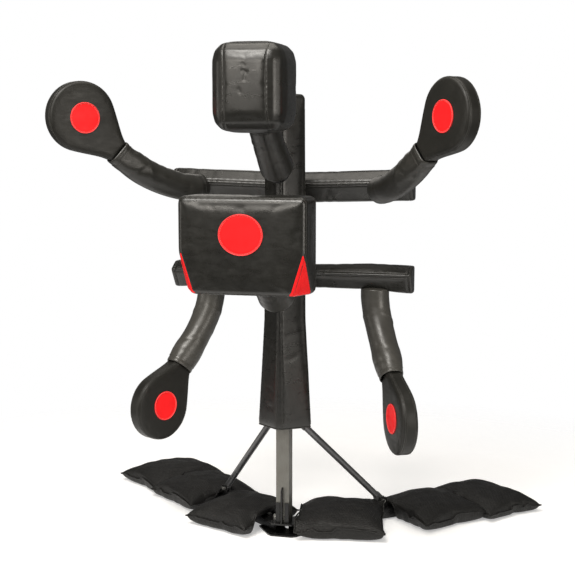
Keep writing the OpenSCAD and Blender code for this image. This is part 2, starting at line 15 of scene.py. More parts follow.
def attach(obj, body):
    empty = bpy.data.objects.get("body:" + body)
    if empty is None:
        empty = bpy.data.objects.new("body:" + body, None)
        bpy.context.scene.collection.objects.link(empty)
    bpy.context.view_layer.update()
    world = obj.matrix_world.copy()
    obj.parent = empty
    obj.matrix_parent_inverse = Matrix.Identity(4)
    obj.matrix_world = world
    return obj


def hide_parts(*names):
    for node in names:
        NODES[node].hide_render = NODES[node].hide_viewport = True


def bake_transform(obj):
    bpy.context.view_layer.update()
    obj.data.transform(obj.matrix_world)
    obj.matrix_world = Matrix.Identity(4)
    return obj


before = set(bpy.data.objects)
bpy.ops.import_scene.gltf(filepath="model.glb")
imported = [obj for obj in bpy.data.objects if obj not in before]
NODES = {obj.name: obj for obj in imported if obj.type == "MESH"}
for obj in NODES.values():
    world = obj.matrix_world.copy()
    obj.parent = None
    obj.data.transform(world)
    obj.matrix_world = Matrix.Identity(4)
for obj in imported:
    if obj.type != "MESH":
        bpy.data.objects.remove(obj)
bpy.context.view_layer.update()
scene = bpy.context.scene
RNG = np.random.default_rng(7)

# ------------------------------------------------------------------ numbers
MM = 0.001


def unit(v):
    v = np.asarray(v, float)
    return v / np.linalg.norm(v)


def axis_of(rz, ry):
    rz, ry = math.radians(rz), math.radians(ry)
    return np.array([math.sin(ry) * math.cos(rz), math.sin(ry) * math.sin(rz), math.cos(ry)])


NECK_LEN = 0.190
NECK_HW = 0.042
PAD_R = 0.121
PAD_T = 0.064
ARM_RZ, ARM_RY = -45.0, 47.5
LEG_RZ, LEG_RY = -62.0, 143.3
ARM_C = np.array([0.650, -0.334, 1.559])
LEG_C = np.array([0.456, -0.109, 0.487])
ARM_U, LEG_U = axis_of(ARM_RZ, ARM_RY), axis_of(LEG_RZ, LEG_RY)
ARM_J, LEG_J = ARM_C - NECK_LEN * ARM_U, LEG_C - NECK_LEN * LEG_U
ARM_P0, ARM_D0 = np.array([0.346, 0.030, 1.298]), unit([0.52, -0.85, 0.08])
LEG_P0, LEG_D0 = np.array([0.319, 0.112, 0.905]), unit([0.04, 0, -1])


def yz(deg):
    a = math.radians(deg)
    return np.array([0.0, -math.cos(a), math.sin(a)])


NECK_P0, NECK_D0 = np.array([0, -0.066, 1.352]), yz(37)
NECK_J, NECK_D1 = np.array([0, -0.289, 1.534]), yz(42)
TOR_P0, TOR_D0 = np.array([0, -0.066, 0.888]), yz(36)
TOR_J, TOR_D1 = np.array([0, -0.395, 1.098]), yz(26)


def path(a, da, b, db):
    L = np.linalg.norm(b - a)
    return [a, a + da * L / 3, b - db * L / 3, b]


def bez(P, t):
    return ((1 - t) ** 3) * P[0] + 3 * (1 - t) ** 2 * t * P[1] + 3 * (1 - t) * t * t * P[2] + t ** 3 * P[3]


def bezd(P, t):
    return unit(3 * (1 - t) ** 2 * (P[1] - P[0]) + 6 * (1 - t) * t * (P[2] - P[1]) + 3 * t * t * (P[3] - P[2]))


def limb_matrix(c, rz, ry):
    return (Matrix.Translation(Vector(c)) @ Matrix.Rotation(math.radians(rz), 4, "Z")
            @ Matrix.Rotation(math.radians(ry), 4, "Y"))


MIRROR = Matrix.Diagonal((-1, 1, 1, 1))


def smoothstep(x):
    x = np.clip(x, 0, 1)
    return x * x * (3 - 2 * x)


# ---------------------------------------------------------------- materials
class Net:
    """Short names for building a node tree."""

    def __init__(self, name, base, rough, **sockets):
        self.m = bpy.data.materials.new(name)
        self.m.use_nodes = True
        self.t = self.m.node_tree
        self.n = self.t.nodes
        self.b = self.n["Principled BSDF"]
        self.b.inputs["Base Color"].default_value = (*base, 1)
        self.b.inputs["Roughness"].default_value = rough
        for k, v in sockets.items():
            self.b.inputs[k.replace("_", " ")].default_value = v
        self.m.diffuse_color = (*base, 1)
        self.tc = self.n.new("ShaderNodeTexCoord")
        self.base = base

    def link(self, a, b):
        self.t.links.new(a, b)

    def noise(self, scale, detail=3.0, rough=0.55, distortion=0.0, vec=None):
        x = self.n.new("ShaderNodeTexNoise")
        x.inputs["Scale"].default_value = scale
        x.inputs["Detail"].default_value = detail
        x.inputs["Roughness"].default_value = rough
        x.inputs["Distortion"].default_value = distortion
        self.link(vec or self.tc.outputs["Object"], x.inputs["Vector"])
        return x.outputs["Fac"]

    def voronoi(self, scale, feature="F1", vec=None, out="Distance"):
        x = self.n.new("ShaderNodeTexVoronoi")
        x.feature = feature
        x.inputs["Scale"].default_value = scale
        self.link(vec or self.tc.outputs["Object"], x.inputs["Vector"])
        return x.outputs[out]

    def stretch(self, sx, sy, sz, rot=(0, 0, 0)):
        x = self.n.new("ShaderNodeMapping")
        x.inputs["Scale"].default_value = (sx, sy, sz)
        x.inputs["Rotation"].default_value = rot
        self.link(self.tc.outputs["Object"], x.inputs["Vector"])
        return x.outputs["Vector"]

    def ramp(self, fac, lo, hi, a, b):
        x = self.n.new("ShaderNodeMapRange")
        x.inputs["From Min"].default_value = lo
        x.inputs["From Max"].default_value = hi
        x.inputs["To Min"].default_value = a
        x.inputs["To Max"].default_value = b
        self.link(fac, x.inputs["Value"])
        return x.outputs["Result"]

    def math(self, op, a, b):
        x = self.n.new("ShaderNodeMath")
        x.operation = op
        for i, v in enumerate((a, b)):
            if isinstance(v, (int, float)):
                x.inputs[i].default_value = v
            else:
                self.link(v, x.inputs[i])
        return x.outputs["Value"]

    def mix(self, fac, a, b):
        x = self.n.new("ShaderNodeMix")
        x.data_type = "RGBA"
        for socket, v in ((x.inputs[0], fac), (x.inputs[6], a), (x.inputs[7], b)):
            if isinstance(v, (int, float)):
                socket.default_value = v
            elif isinstance(v, tuple):
                socket.default_value = (*v, 1)
            else:
                self.link(v, socket)
        return x.outputs[2]

    def colour(self, socket):
        self.link(socket, self.b.inputs["Base Color"])

    def rough(self, socket):
        self.link(socket, self.b.inputs["Roughness"])

    def bump(self, layers):
        """layers: (height socket, distance in m, strength)"""
        last = None
        for h, dist, strength in layers:
            x = self.n.new("ShaderNodeBump")
            x.inputs["Distance"].default_value = dist
            x.inputs["Strength"].default_value = strength
            self.link(h, x.inputs["Height"])
            if last is not None:
                self.link(last, x.inputs["Normal"])
            last = x.outputs["Normal"]
        self.link(last, self.b.inputs["Normal"])


def scaled(c, k):
    return tuple(min(1.0, x * k) for x in c)


def vinyl(name, base, rough, grain=1.0, wear=0.35, spec=0.42, cells=620, **kw):
    """Coated vinyl over foam: pebbled grain, faint scuffs and handling marks."""
    k = Net(name, base, rough, Specular_IOR_Level=spec, **kw)
    big = k.noise(5.5, 4, 0.6, 0.3)
    mid = k.noise(38, 5, 0.62)
    fine = k.noise(420, 2, 0.5)
    c = k.mix(k.ramp(big, 0.34, 0.68, 0, 1), scaled(base, 0.78), scaled(base, 1.24))
    c = k.mix(k.ramp(mid, 0.56, 0.80, 0, wear), c, tuple(min(1, x * 1.55 + 0.006) for x in base))
    c = k.mix(k.ramp(fine, 0.35, 0.72, 0, 0.22), c, scaled(base, 0.66))
    k.colour(c)
    streak = k.noise(16, 4, 0.6, 0.8, k.stretch(1.0, 1.0, 3.2, (0.4, 0.2, 0.3)))
    r = k.math("ADD", k.ramp(streak, 0.3, 0.72, rough - 0.07, rough + 0.08), k.ramp(mid, 0.3, 0.75, -0.03, 0.05))
    k.rough(r)
    pebble = k.voronoi(cells, "SMOOTH_F1")
    creases = k.voronoi(cells * 0.45, "DISTANCE_TO_EDGE")
    k.bump([
        (k.ramp(pebble, 0.0, 0.75, 1, 0), 0.00028, 0.30 * grain),
        (k.ramp(creases, 0.0, 0.09, 0, 1), 0.00018, 0.20 * grain),
        (k.noise(20, 2, 0.45, 0.2), 0.0008, 0.12),
    ])
    return k.m


def steel_paint(name, base, rough):
    """Powder-coated steel: orange peel, dust, rubbed lighter spots."""
    k = Net(name, base, rough, Specular_IOR_Level=0.6, Metallic=0.5)
    dust = k.noise(7, 5, 0.62, 0.4)
    scuff = k.noise(95, 6, 0.7, 0.6, k.stretch(1, 1, 0.35))
    c = k.mix(k.ramp(dust, 0.35, 0.75, 0, 1), scaled(base, 0.8), scaled(base, 1.45))
    c = k.mix(k.ramp(scuff, 0.62, 0.78, 0, 0.5), c, tuple(x + 0.10 for x in base))
    k.colour(c)
    k.rough(k.ramp(k.noise(30, 4, 0.6), 0.3, 0.7, rough - 0.08, rough + 0.10))
    k.bump([(k.noise(900, 2, 0.5), 0.00012, 0.35), (k.ramp(scuff, 0.62, 0.78, 1, 0), 0.0001, 0.3)])
    return k.m


def metal(name, base, rough, brushed=(1, 1, 1), dirt=0.4, stain=(0.14, 0.12, 0.10)):
    k = Net(name, base, rough, Metallic=1.0)
    blotch = k.noise(9, 5, 0.65, 0.5)
    lines = k.noise(240, 5, 0.6, 0.1, k.stretch(*brushed))
    c = k.mix(k.ramp(blotch, 0.42, 0.74, 0, dirt), base, stain)
    c = k.mix(k.ramp(lines, 0.3, 0.7, 0, 0.35), c, scaled(base, 0.72))
    k.colour(c)
    k.rough(k.math("ADD", k.ramp(lines, 0.3, 0.7, rough - 0.06, rough + 0.08), k.ramp(blotch, 0.4, 0.75, 0, 0.16)))
    k.bump([(lines, 0.00012, 0.25), (k.noise(700, 2, 0.5), 0.00006, 0.2)])
    return k.m


def woven(name, base):
    """Coarse woven sack cloth: two crossing thread directions on every side."""
    k = Net(name, base, 0.62, Specular_IOR_Level=0.34)
    waves = []
    for axis in ("X", "Y", "Z"):
        w = k.n.new("ShaderNodeTexWave")
        w.wave_type = "BANDS"
        w.bands_direction = axis
        w.inputs["Scale"].default_value = 55
        w.inputs["Distortion"].default_value = 1.6
        w.inputs["Detail"].default_value = 1.5
        w.inputs["Detail Scale"].default_value = 2.0
        k.link(k.tc.outputs["Object"], w.inputs["Vector"])
        waves.append(w.outputs["Fac"])
    xy = k.math("MULTIPLY", waves[0], waves[1])
    h = k.math("ADD", k.math("MAXIMUM", waves[0], waves[1]), k.math("MULTIPLY", waves[2], 0.5))
    big = k.noise(6.5, 4, 0.6, 0.3)
    dust = k.noise(34, 5, 0.66, 0.4)
    c = k.mix(k.ramp(big, 0.35, 0.7, 0, 1), scaled(base, 0.72), scaled(base, 1.35))
    c = k.mix(k.ramp(xy, 0.2, 0.9, 0, 0.55), c, scaled(base, 1.9))
    c = k.mix(k.ramp(dust, 0.58, 0.8, 0, 0.3), c, tuple(x * 1.2 + 0.014 for x in base))
    k.colour(c)
    k.rough(k.ramp(dust, 0.3, 0.75, 0.44, 0.62))
    k.bump([(h, 0.0018, 0.65), (k.noise(150, 3, 0.6), 0.0012, 0.35), (k.noise(14, 3, 0.55, 0.4), 0.010, 0.35)])
    return k.m


def plastic(name, base, rough=0.5):
    k = Net(name, base, rough, Specular_IOR_Level=0.45)
    n1, n2 = k.noise(12, 4, 0.6), k.noise(900, 2, 0.5)
    k.colour(k.mix(k.ramp(n1, 0.35, 0.7, 0, 1), scaled(base, 0.8), scaled(base, 1.4)))
    k.rough(k.ramp(n1, 0.3, 0.7, rough - 0.06, rough + 0.08))
    k.bump([(n2, 0.00012, 0.4)])
    return k.m


PAD = vinyl("pad_vinyl", (0.0098, 0.0094, 0.0078), 0.315, grain=0.6, wear=0.18, spec=0.46)
LIMB_PAD = vinyl("limb_vinyl", (0.0128, 0.0123, 0.0104), 0.42, grain=0.5, wear=0.15, spec=0.24)
SLEEVE = vinyl("sleeve_vinyl", (0.0165, 0.0158, 0.0134), 0.37, grain=0.6, wear=0.25)
# leg sleeves: a lighter copy of the sleeve vinyl; its paler base colour is painted sheen that stands in for the gloss
# the leg sleeves catch
LEG_SLEEVE_PAINTED_SHEEN = vinyl("sleeve_vinyl_painted_sheen", (0.044, 0.0418, 0.0368), 0.36, grain=0.5, wear=0.30, spec=0.48)
SEAM = vinyl("seam_piping", (0.026, 0.0254, 0.0226), 0.36, grain=0.4, cells=1500)
RED = vinyl("red_vinyl", (0.84, 0.011, 0.013), 0.50, grain=0.6, wear=0.0, spec=0.14)
RED_RIM = vinyl("red_rim", (0.88, 0.055, 0.055), 0.42, grain=0.4, wear=0.05, spec=0.3)
THREAD = Net("thread", (0.075, 0.072, 0.066), 0.8, Specular_IOR_Level=0.3)
THREAD.colour(THREAD.mix(THREAD.ramp(THREAD.noise(60, 3), 0.3, 0.7, 0, 1), (0.05, 0.048, 0.044), (0.11, 0.106, 0.098)))
THREAD.bump([(THREAD.noise(2500, 2), 0.0001, 0.4)])
THREAD = THREAD.m
RED_THREAD = Net("thread_red", (0.80, 0.16, 0.15), 0.75, Specular_IOR_Level=0.3)
RED_THREAD.colour(RED_THREAD.mix(RED_THREAD.ramp(RED_THREAD.noise(60, 3), 0.3, 0.7, 0, 1), (0.62, 0.09, 0.09), (0.9, 0.24, 0.22)))
RED_THREAD.bump([(RED_THREAD.noise(2500, 2), 0.0001, 0.4)])
RED_THREAD = RED_THREAD.m
STEEL = steel_paint("black_steel", (0.012, 0.012, 0.0123), 0.30)
STRUT = steel_paint("strut_steel", (0.090, 0.090, 0.092), 0.30)
POST = metal("worn_steel", (0.20, 0.197, 0.182), 0.50, brushed=(1, 1, 0.12), dirt=0.6, stain=(0.15, 0.14, 0.12))
ZINC = metal("zinc_hardware", (0.62, 0.62, 0.60), 0.34, dirt=0.35, stain=(0.34, 0.31, 0.26))
SPRING = metal("spring_steel", (0.42, 0.42, 0.41), 0.30, dirt=0.3)
PLASTIC = plastic("black_plastic", (0.022, 0.022, 0.022), 0.5)
SACK = woven("sandbag_cloth", (0.0040, 0.0038, 0.0033))


# ------------------------------------------------------------- mesh helpers
def new_object(name, verts, faces, material, smooth=True):
    me = bpy.data.meshes.new(name)
    me.from_pydata([tuple(map(float, v)) for v in verts], [], [tuple(f) for f in faces])
    me.update()
    ob = bpy.data.objects.new(name, me)
    scene.collection.objects.link(ob)
    me.materials.append(material)
    if smooth:
        me.polygons.foreach_set("use_smooth", [True] * len(me.polygons))
    return ob


def coords(ob):
    a = np.empty(len(ob.data.vertices) * 3)
    ob.data.vertices.foreach_get("co", a)
    return a.reshape(-1, 3)


def set_coords(ob, a):
    ob.data.vertices.foreach_set("co", np.ascontiguousarray(a, dtype=float).ravel())
    ob.data.update()


def normals(ob):
    a = np.empty(len(ob.data.vertices) * 3)
    ob.data.vertex_normals.foreach_get("vector", a)
    return a.reshape(-1, 3)


def apply_modifiers(ob):
    """Bakes the modifier stack into the mesh."""
    bpy.context.view_layer.update()
    dg = bpy.context.evaluated_depsgraph_get()
    me = bpy.data.meshes.new_from_object(ob.evaluated_get(dg), depsgraph=dg)
    old = ob.data
    ob.modifiers.clear()
    ob.data = me
    me.name = ob.name
    bpy.data.meshes.remove(old)
    return ob


def subdivide(ob, levels=1):
    m = ob.modifiers.new("sub", "SUBSURF")
    m.levels = m.render_levels = levels
    return apply_modifiers(ob)


def bevel(ob, width, segments=3, angle=30):
    m = ob.modifiers.new("bevel", "BEVEL")
    m.width, m.segments, m.limit_method = width, segments, "ANGLE"
    m.angle_limit = math.radians(angle)
    m.use_clamp_overlap = True
    return apply_modifiers(ob)


def remesh(ob, voxel):
    m = ob.modifiers.new("remesh", "REMESH")
    m.mode, m.voxel_size = "VOXEL", voxel
    m.use_smooth_shade = True
    apply_modifiers(ob)
    ob.data.polygons.foreach_set("use_smooth", [True] * len(ob.data.polygons))
    return ob


def relax(ob, rounds=2, factor=0.5, keep=None):
    """Laplacian smoothing, with a slight push back so that the form keeps its size."""
    me = ob.data
    e = np.empty(len(me.edges) * 2, dtype=np.int64)
    me.edges.foreach_get("vertices", e)
    e = e.reshape(-1, 2)
    n = len(me.vertices)
    deg = np.zeros(n)
    np.add.at(deg, e[:, 0], 1)
    np.add.at(deg, e[:, 1], 1)
    c = coords(ob)
    for i in range(rounds):
        for f in (factor, -factor * 0.96):
            s = np.zeros((n, 3))
            np.add.at(s, e[:, 0], c[e[:, 1]])
            np.add.at(s, e[:, 1], c[e[:, 0]])
            d = (s / deg[:, None] - c) * f
            if keep is not None:
                d *= (1 - keep)[:, None]
            c = c + d
    set_coords(ob, c)
    return ob


def puff(ob, pressure=4.0, cap=0.004, frames=20, mass=0.3, stiff=15.0, hold=None):
    """Blows the cover up with the cloth solver, no gravity, and keeps the result within cap."""
    rest = coords(ob)
    m = ob.modifiers.new("puff", "CLOTH")
    s = m.settings
    s.quality = 5
    s.mass = mass
    s.tension_stiffness = s.compression_stiffness = stiff
    s.shear_stiffness = 5
    s.bending_stiffness = 0.5
    s.use_pressure = True
    s.uniform_pressure_force = pressure
    s.effector_weights.gravity = 0
    m.collision_settings.use_collision = False
    m.collision_settings.use_self_collision = False
    m.point_cache.frame_start, m.point_cache.frame_end = 1, frames
    for f in range(1, frames + 1):
        scene.frame_set(f)
    dg = bpy.context.evaluated_depsgraph_get()
    e = ob.evaluated_get(dg)
    a = np.empty(len(e.data.vertices) * 3)
    e.data.vertices.foreach_get("co", a)
    ob.modifiers.clear()
    scene.frame_set(1)
    d = a.reshape(-1, 3) - rest
    if not np.isfinite(d).all():
        d[:] = 0
    L = np.linalg.norm(d, axis=1)
    k = np.where(L > 1e-9, cap * np.tanh(L / cap) / np.maximum(L, 1e-9), 0)
    if hold is not None:
        k = k * (1 - hold)
    # a taut cover: the hollows the solver draws along the edges are let out again
    n = normals(ob)
    d = d * k[:, None]
    inward = np.minimum((d * n).sum(1), 0)
    tangent = d - (d * n).sum(1)[:, None] * n
    d = d - 0.88 * inward[:, None] * n - 0.75 * tangent
    set_coords(ob, rest + 0.55 * d)
    return ob


def seg_distance(c, line):
    """Distance from each point to a polyline, and the arc length where it is nearest."""
    best = np.full(len(c), 1e9)
    arc = np.zeros(len(c))
    s0 = 0.0
    for a, b in zip(line[:-1], line[1:]):
        a, b = np.asarray(a, float), np.asarray(b, float)
        d = b - a
        L2 = max(d @ d, 1e-12)
        t = np.clip((c - a) @ d / L2, 0, 1)
        dist = np.linalg.norm(c - (a + t[:, None] * d), axis=1)
        m = dist < best
        best[m] = dist[m]
        arc[m] = s0 + t[m] * math.sqrt(L2)
        s0 += math.sqrt(L2)
    return best, arc


def groove(ob, lines, width=0.004, depth=0.0018, pucker=0.0, pitch=0.022):
    """Pulls the surface in along seam lines, with a slight pucker beside the stitches."""
    c, n = coords(ob), normals(ob)
    off = np.zeros(len(c))
    for line in lines:
        d, s = seg_distance(c, line)
        off = np.maximum(off, depth * np.exp(-((d / width) ** 2)))
        if pucker:
            off += pucker * np.exp(-((d / (width * 3.2)) ** 2)) * (0.5 + 0.5 * np.sin(2 * math.pi * s / pitch)) * (d > width * 0.8)
    set_coords(ob, c - n * off[:, None])
    return ob


def lumps(ob, scale, amp, seed=0.0, stretch=(1, 1, 1)):
    c, n = coords(ob), normals(ob)
    st = np.array(stretch)
    v = np.array([noise.noise(Vector((p * st * scale + seed).tolist())) for p in c])
    set_coords(ob, c + n * (v * amp)[:, None])
    return ob


def bvh_of(ob):
    me = ob.data
    c = coords(ob)
    return BVHTree.FromPolygons([Vector(p) for p in c], [tuple(p.vertices) for p in me.polygons])


def tube(points, radius, sides=8, closed=False, ref=(0.13, 0.27, 0.95), squash=1.0):
    """Vertices and faces of a swept tube; the ring frame is carried along the line."""
    P = np.asarray(points, float)
    n = len(P)
    T = np.array([unit((P[(i + 1) % n] - P[i - 1]) if closed else (P[min(i + 1, n - 1)] - P[max(i - 1, 0)])) for i in range(n)])
    u = unit(np.cross(T[0], ref))
    verts, faces = [], []
    rad = np.broadcast_to(radius, (n,))
    for i in range(n):
        u = unit(u - T[i] * (u @ T[i]))
        w = np.cross(T[i], u)
        for k in range(sides):
            a = 2 * math.pi * k / sides
            verts.append(P[i] + rad[i] * (math.cos(a) * u + squash * math.sin(a) * w))
    rows = n if closed else n - 1
    shift = 0
    if closed:  # match the last ring's turn to the first
        first, last = np.array(verts[:sides]), np.array(verts[-sides:])
        shift = int(np.argmin([np.abs(np.roll(first, -s, axis=0) - last).sum() for s in range(sides)]))
    for i in range(rows):
        for k in range(sides):
            a, b = i * sides + k, i * sides + (k + 1) % sides
            j = (i + 1) % n
            sh = shift if (closed and i == n - 1) else 0
            c, d = j * sides + (k + 1 + sh) % sides, j * sides + (k + sh) % sides
            faces.append((a, b, c, d))
    if not closed:
        faces.append(tuple(reversed(range(sides))))
        faces.append(tuple(range((n - 1) * sides, n * sides)))
    return verts, faces


def join(parts):
    V, F = [], []
    for v, f in parts:
        o = len(V)
        V.extend(v)
        F.extend(tuple(i + o for i in q) for q in f)
    return V, F


def densify(line, step):
    out = [np.asarray(line[0], float)]
    for a, b in zip(line[:-1], line[1:]):
        a, b = np.asarray(a, float), np.asarray(b, float)
        k = max(1, int(math.ceil(np.linalg.norm(b - a) / step)))
        out.extend(a + (b - a) * i / k for i in range(1, k + 1))
    return np.array(out)


def on_surface(tree, points, lift=0.0):
    """Nearest surface points, lifted along the surface normal, and the normals."""
    out, nor = [], []
    for p in points:
        q, n, i, d = tree.find_nearest(Vector(p))
        out.append(np.array(q) + np.array(n) * lift)
        nor.append(np.array(n))
    return np.array(out), np.array(nor)


def smooth_line(P, rounds=3, closed=False):
    P = np.array(P)
    for _ in range(rounds):
        Q = P.copy()
        Q[1:-1] = (P[:-2] + 2 * P[1:-1] + P[2:]) / 4
        if closed:
            Q[0] = (P[-1] + 2 * P[0] + P[1]) / 4
            Q[-1] = (P[-2] + 2 * P[-1] + P[0]) / 4
        P = Q
    return P


def stitches(P, N, pitch=0.0055, length=0.0036, r=0.00055, closed=False):
    """Short thread dashes along a line; each dips into the surface at its ends."""
    P, N = np.asarray(P), np.asarray(N)
    if closed:
        P, N = np.vstack([P, P[:1]]), np.vstack([N, N[:1]])
    s = np.concatenate([[0], np.cumsum(np.linalg.norm(np.diff(P, axis=0), axis=1))])
    parts = []
    k = int(s[-1] / pitch)
    for i in range(k):
        m = (i + 0.5) * pitch
        t = np.linspace(m - length / 2, m + length / 2, 5)
        q = np.stack([np.interp(t, s, P[:, a]) for a in range(3)], 1)
        nn = np.stack([np.interp(t, s, N[:, a]) for a in range(3)], 1)
        lift = np.array([-0.4, 0.5, 0.8, 0.5, -0.4]) * r
        q = q + nn * lift[:, None]
        parts.append(tube(q, np.array([0.6, 1, 1, 1, 0.6]) * r, sides=5))
    return join(parts)


def recalc(ob):
    bm = bmesh.new()
    bm.from_mesh(ob.data)
    bmesh.ops.recalc_face_normals(bm, faces=bm.faces)
    bm.to_mesh(ob.data)
    bm.free()
    ob.data.update()
    return ob


def hull_object(name, points, material):
    bm = bmesh.new()
    for p in points:
        bm.verts.new(tuple(map(float, p)))
    bmesh.ops.convex_hull(bm, input=bm.verts)
    bmesh.ops.delete(bm, geom=[v for v in bm.verts if not v.link_faces], context="VERTS")
    bmesh.ops.dissolve_limit(bm, angle_limit=math.radians(1.0), verts=bm.verts, edges=bm.edges)
    bmesh.ops.recalc_face_normals(bm, faces=bm.faces)
    me = bpy.data.meshes.new(name)
    bm.to_mesh(me)
    bm.free()
    ob = bpy.data.objects.new(name, me)
    scene.collection.objects.link(ob)
    me.materials.append(material)
    return ob


def transformed_copy(ob, name, matrix, flip=False):
    me = ob.data.copy()
    me.name = name
    me.transform(matrix)
    if flip:
        me.flip_normals()
    c = bpy.data.objects.new(name, me)
    scene.collection.objects.link(c)
    return c


def place(ob, body, slot, *nodes, pad=None):
    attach(ob, body)
    if nodes:
        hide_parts(*nodes)
    return ob


# ----------------------------------------------------- carried-over CAD steel
def bevelled(node, body, material, slot, width=0.0012, segments=2, angle=28):
    """The CAD node's own shape with its edges broken, as rolled and cut steel has them."""
    src = NODES[node]
    me = src.data.copy()
    me.name = node + "_finish"
    ob = bpy.data.objects.new(node + "_finish", me)
    scene.collection.objects.link(ob)
    me.materials.clear()
    me.materials.append(material)
    bm = bmesh.new()
    bm.from_mesh(me)
    bmesh.ops.remove_doubles(bm, verts=bm.verts, dist=1e-5)
    bmesh.ops.dissolve_limit(bm, angle_limit=math.radians(0.6), verts=bm.verts, edges=bm.edges)
    bm.to_mesh(me)
    bm.free()
    if me.has_custom_normals:
        me.attributes.remove(me.attributes["custom_normal"])
    bevel(ob, width, segments, angle)
    me = ob.data
    me.polygons.foreach_set("use_smooth", [True] * len(me.polygons))
    me.set_sharp_from_angle(angle=math.radians(36))
    w = ob.modifiers.new("wn", "WEIGHTED_NORMAL")
    w.keep_sharp = True
    return place(ob, body, slot, node)


def dress(node, material):
    ob = NODES[node]
    ob.data.materials.clear()
    ob.data.materials.append(material)


for node, width in (("hub_base_plate", 0.0010), ("hub_top_plate", 0.0012), ("base_leg_left", 0.0030),
                    ("base_leg_right", 0.0030), ("post_gussets", 0.0010), ("strut_foot_brackets", 0.0010),
                    ("strut_collar", 0.0012), ("strut_left", 0.0012), ("strut_right", 0.0012),
                    ("upper_crossbar", 0.0020), ("lower_crossbar", 0.0020), ("crossbar_brackets", 0.0010)):
    bevelled(node, "stand", STRUT if node in ("strut_left", "strut_right") else STEEL, "black_steel", width)
bevelled("post", "stand", POST, "worn_steel", 0.0034, 3)
bevelled("leg_end_caps", "stand", PLASTIC, "black_plastic", 0.0020)
for node in ("hub_bolts", "strut_bolts", "crossbar_bolts"):
    bevelled(node, "stand", ZINC, "zinc_hardware", 0.0007)
for node in ("neck_mount", "torso_mount", "arm_mounts", "leg_mounts"):
    dress(node, STEEL)
for node in ("head_core", "torso_core", "arm_left_core", "arm_right_core", "leg_left_core", "leg_right_core"):
    dress(node, STEEL)


# ------------------------------------------------------------------- paddles
def paddle_outline(inset=0.0, n_arc=64, n_side=16):
    """Closed outline in the paddle's own X-Z plane: round head, hollow flanks down to the neck."""
    r = PAD_R + 0.0045 - inset
    hw, nl = NECK_HW - inset, NECK_LEN - inset
    d = math.hypot(nl, hw)
    a0 = math.atan2(-nl, hw)
    ta = a0 + math.acos(min(1, r / d))
    pts = []
    for i in range(n_arc + 1):
        a = ta + (math.pi - 2 * ta) * i / n_arc
        pts.append((r * math.cos(a), r * math.sin(a)))
    # left flank, from the arc's end down to the neck
    ax, az = pts[-1]
    tx, tz = -math.sin(math.pi - ta), math.cos(math.pi - ta)
    L = math.hypot(ax + hw, az + nl)
    e = unit(np.array([ax + hw, az + nl]))
    P = [np.array([ax, az]), np.array([ax, az]) - e * L * 0.45,
         np.array([-hw, -nl]) + unit(e * 0.55 + np.array([0, 0.45])) * L * 0.28, np.array([-hw, -nl])]
    left = [bez(P, i / n_side) for i in range(1, n_side + 1)]
    pts += [tuple(p) for p in left]
    nb = 8
    pts += [(-hw + 2 * hw * i / nb, -nl) for i in range(1, nb)]
    pts += [(-p[0], p[1]) for p in reversed(left)]
    return np.array(pts)


def make_paddle():
    out = paddle_outline(0.0030)
    n = len(out)
    d = np.roll(out, -1, 0) - np.roll(out, 1, 0)
    nrm = np.stack([d[:, 1], -d[:, 0]], 1)
    nrm /= np.linalg.norm(nrm, axis=1)[:, None]
    if ((out * nrm).sum(1)).mean() < 0:
        nrm = -nrm
    t = PAD_T / 2 - 0.0028
    r = 0.0125
    prof = [(r, -t)] + [(r - r * math.sin(a), -t + r - r * math.cos(a)) for a in np.linspace(0.25, math.pi / 2, 6)]
    prof += [(p[0], -p[1]) for p in reversed(prof)]
    verts, faces = [], []
    for inset, y in prof:
        q = out - nrm * inset
        verts += [(x, y, z) for x, z in q]
    for j in range(len(prof) - 1):
        for i in range(n):
            a, b = j * n + i, j * n + (i + 1) % n
            faces.append((a, b, b + n, a + n))
    faces.append(tuple(reversed(range(n))))
    faces.append(tuple(range((len(prof) - 1) * n, len(prof) * n)))
    ob = new_object("paddle_base", verts, faces, LIMB_PAD)
    recalc(ob)
    remesh(ob, 0.0048)
    relax(ob, 3, 0.5)
    puff(ob, 4.0, 0.0034)
    relax(ob, 2, 0.4)
    lumps(ob, 9.0, 0.0007, 3.1)
    # sewn seams a little way round onto the side band, front and back
    seams = []
    for y in (-t + 0.0085, t - 0.0085):
        line = [(x, y, z) for x, z in out]
        seams.append([np.array(p) for p in line] + [np.array(line[0])])
    subdivide(ob, 1)
    groove(ob, seams, 0.0022, 0.0014, pucker=0.0003, pitch=0.014)
    return ob, seams


PADDLE, PADDLE_SEAMS = make_paddle()
TREE = bvh_of(PADDLE)


def disc(tree, R, cx, cz, lift, rings=30, around=112, squash_z=1.0, ray=(0, 1, 0), start=-0.2):
    """A round patch laid on the face: flat middle, raised sewn rim, edge tucked in."""
    verts, faces = [], []
    prof = []
    for i in range(rings + 1):
        f = i / rings
        h = lift
        h += 0.0009 * math.exp(-(((f - 0.955) / 0.030) ** 2))
        h -= 0.0007 * math.exp(-(((f - 0.895) / 0.022) ** 2))
        if f > 0.985:
            h = lift * 0.25
        prof.append((f, h))
    prof.append((1.0, -0.0012))
    for f, h in prof:
        for k in range(around):
            a = 2 * math.pi * k / around
            x, z = cx + R * f * math.cos(a), cz + R * f * squash_z * math.sin(a)
            hit, n, i, dist = tree.ray_cast(Vector((x, start, z)), Vector(ray))
            y = hit.y if hit else start
            verts.append((x, y - h, z))
    m = len(prof)
    for j in range(m - 1):
        for k in range(around):
            a, b = j * around + k, j * around + (k + 1) % around
            if j == 0:
                continue
            faces.append((a, b, b + around, a + around))
    faces.append(tuple(range(around, 2 * around)))
    used = sorted({i for f in faces for i in f})
    remap = {o: i for i, o in enumerate(used)}
    return [verts[i] for i in used], [tuple(remap[i] for i in f) for f in faces]


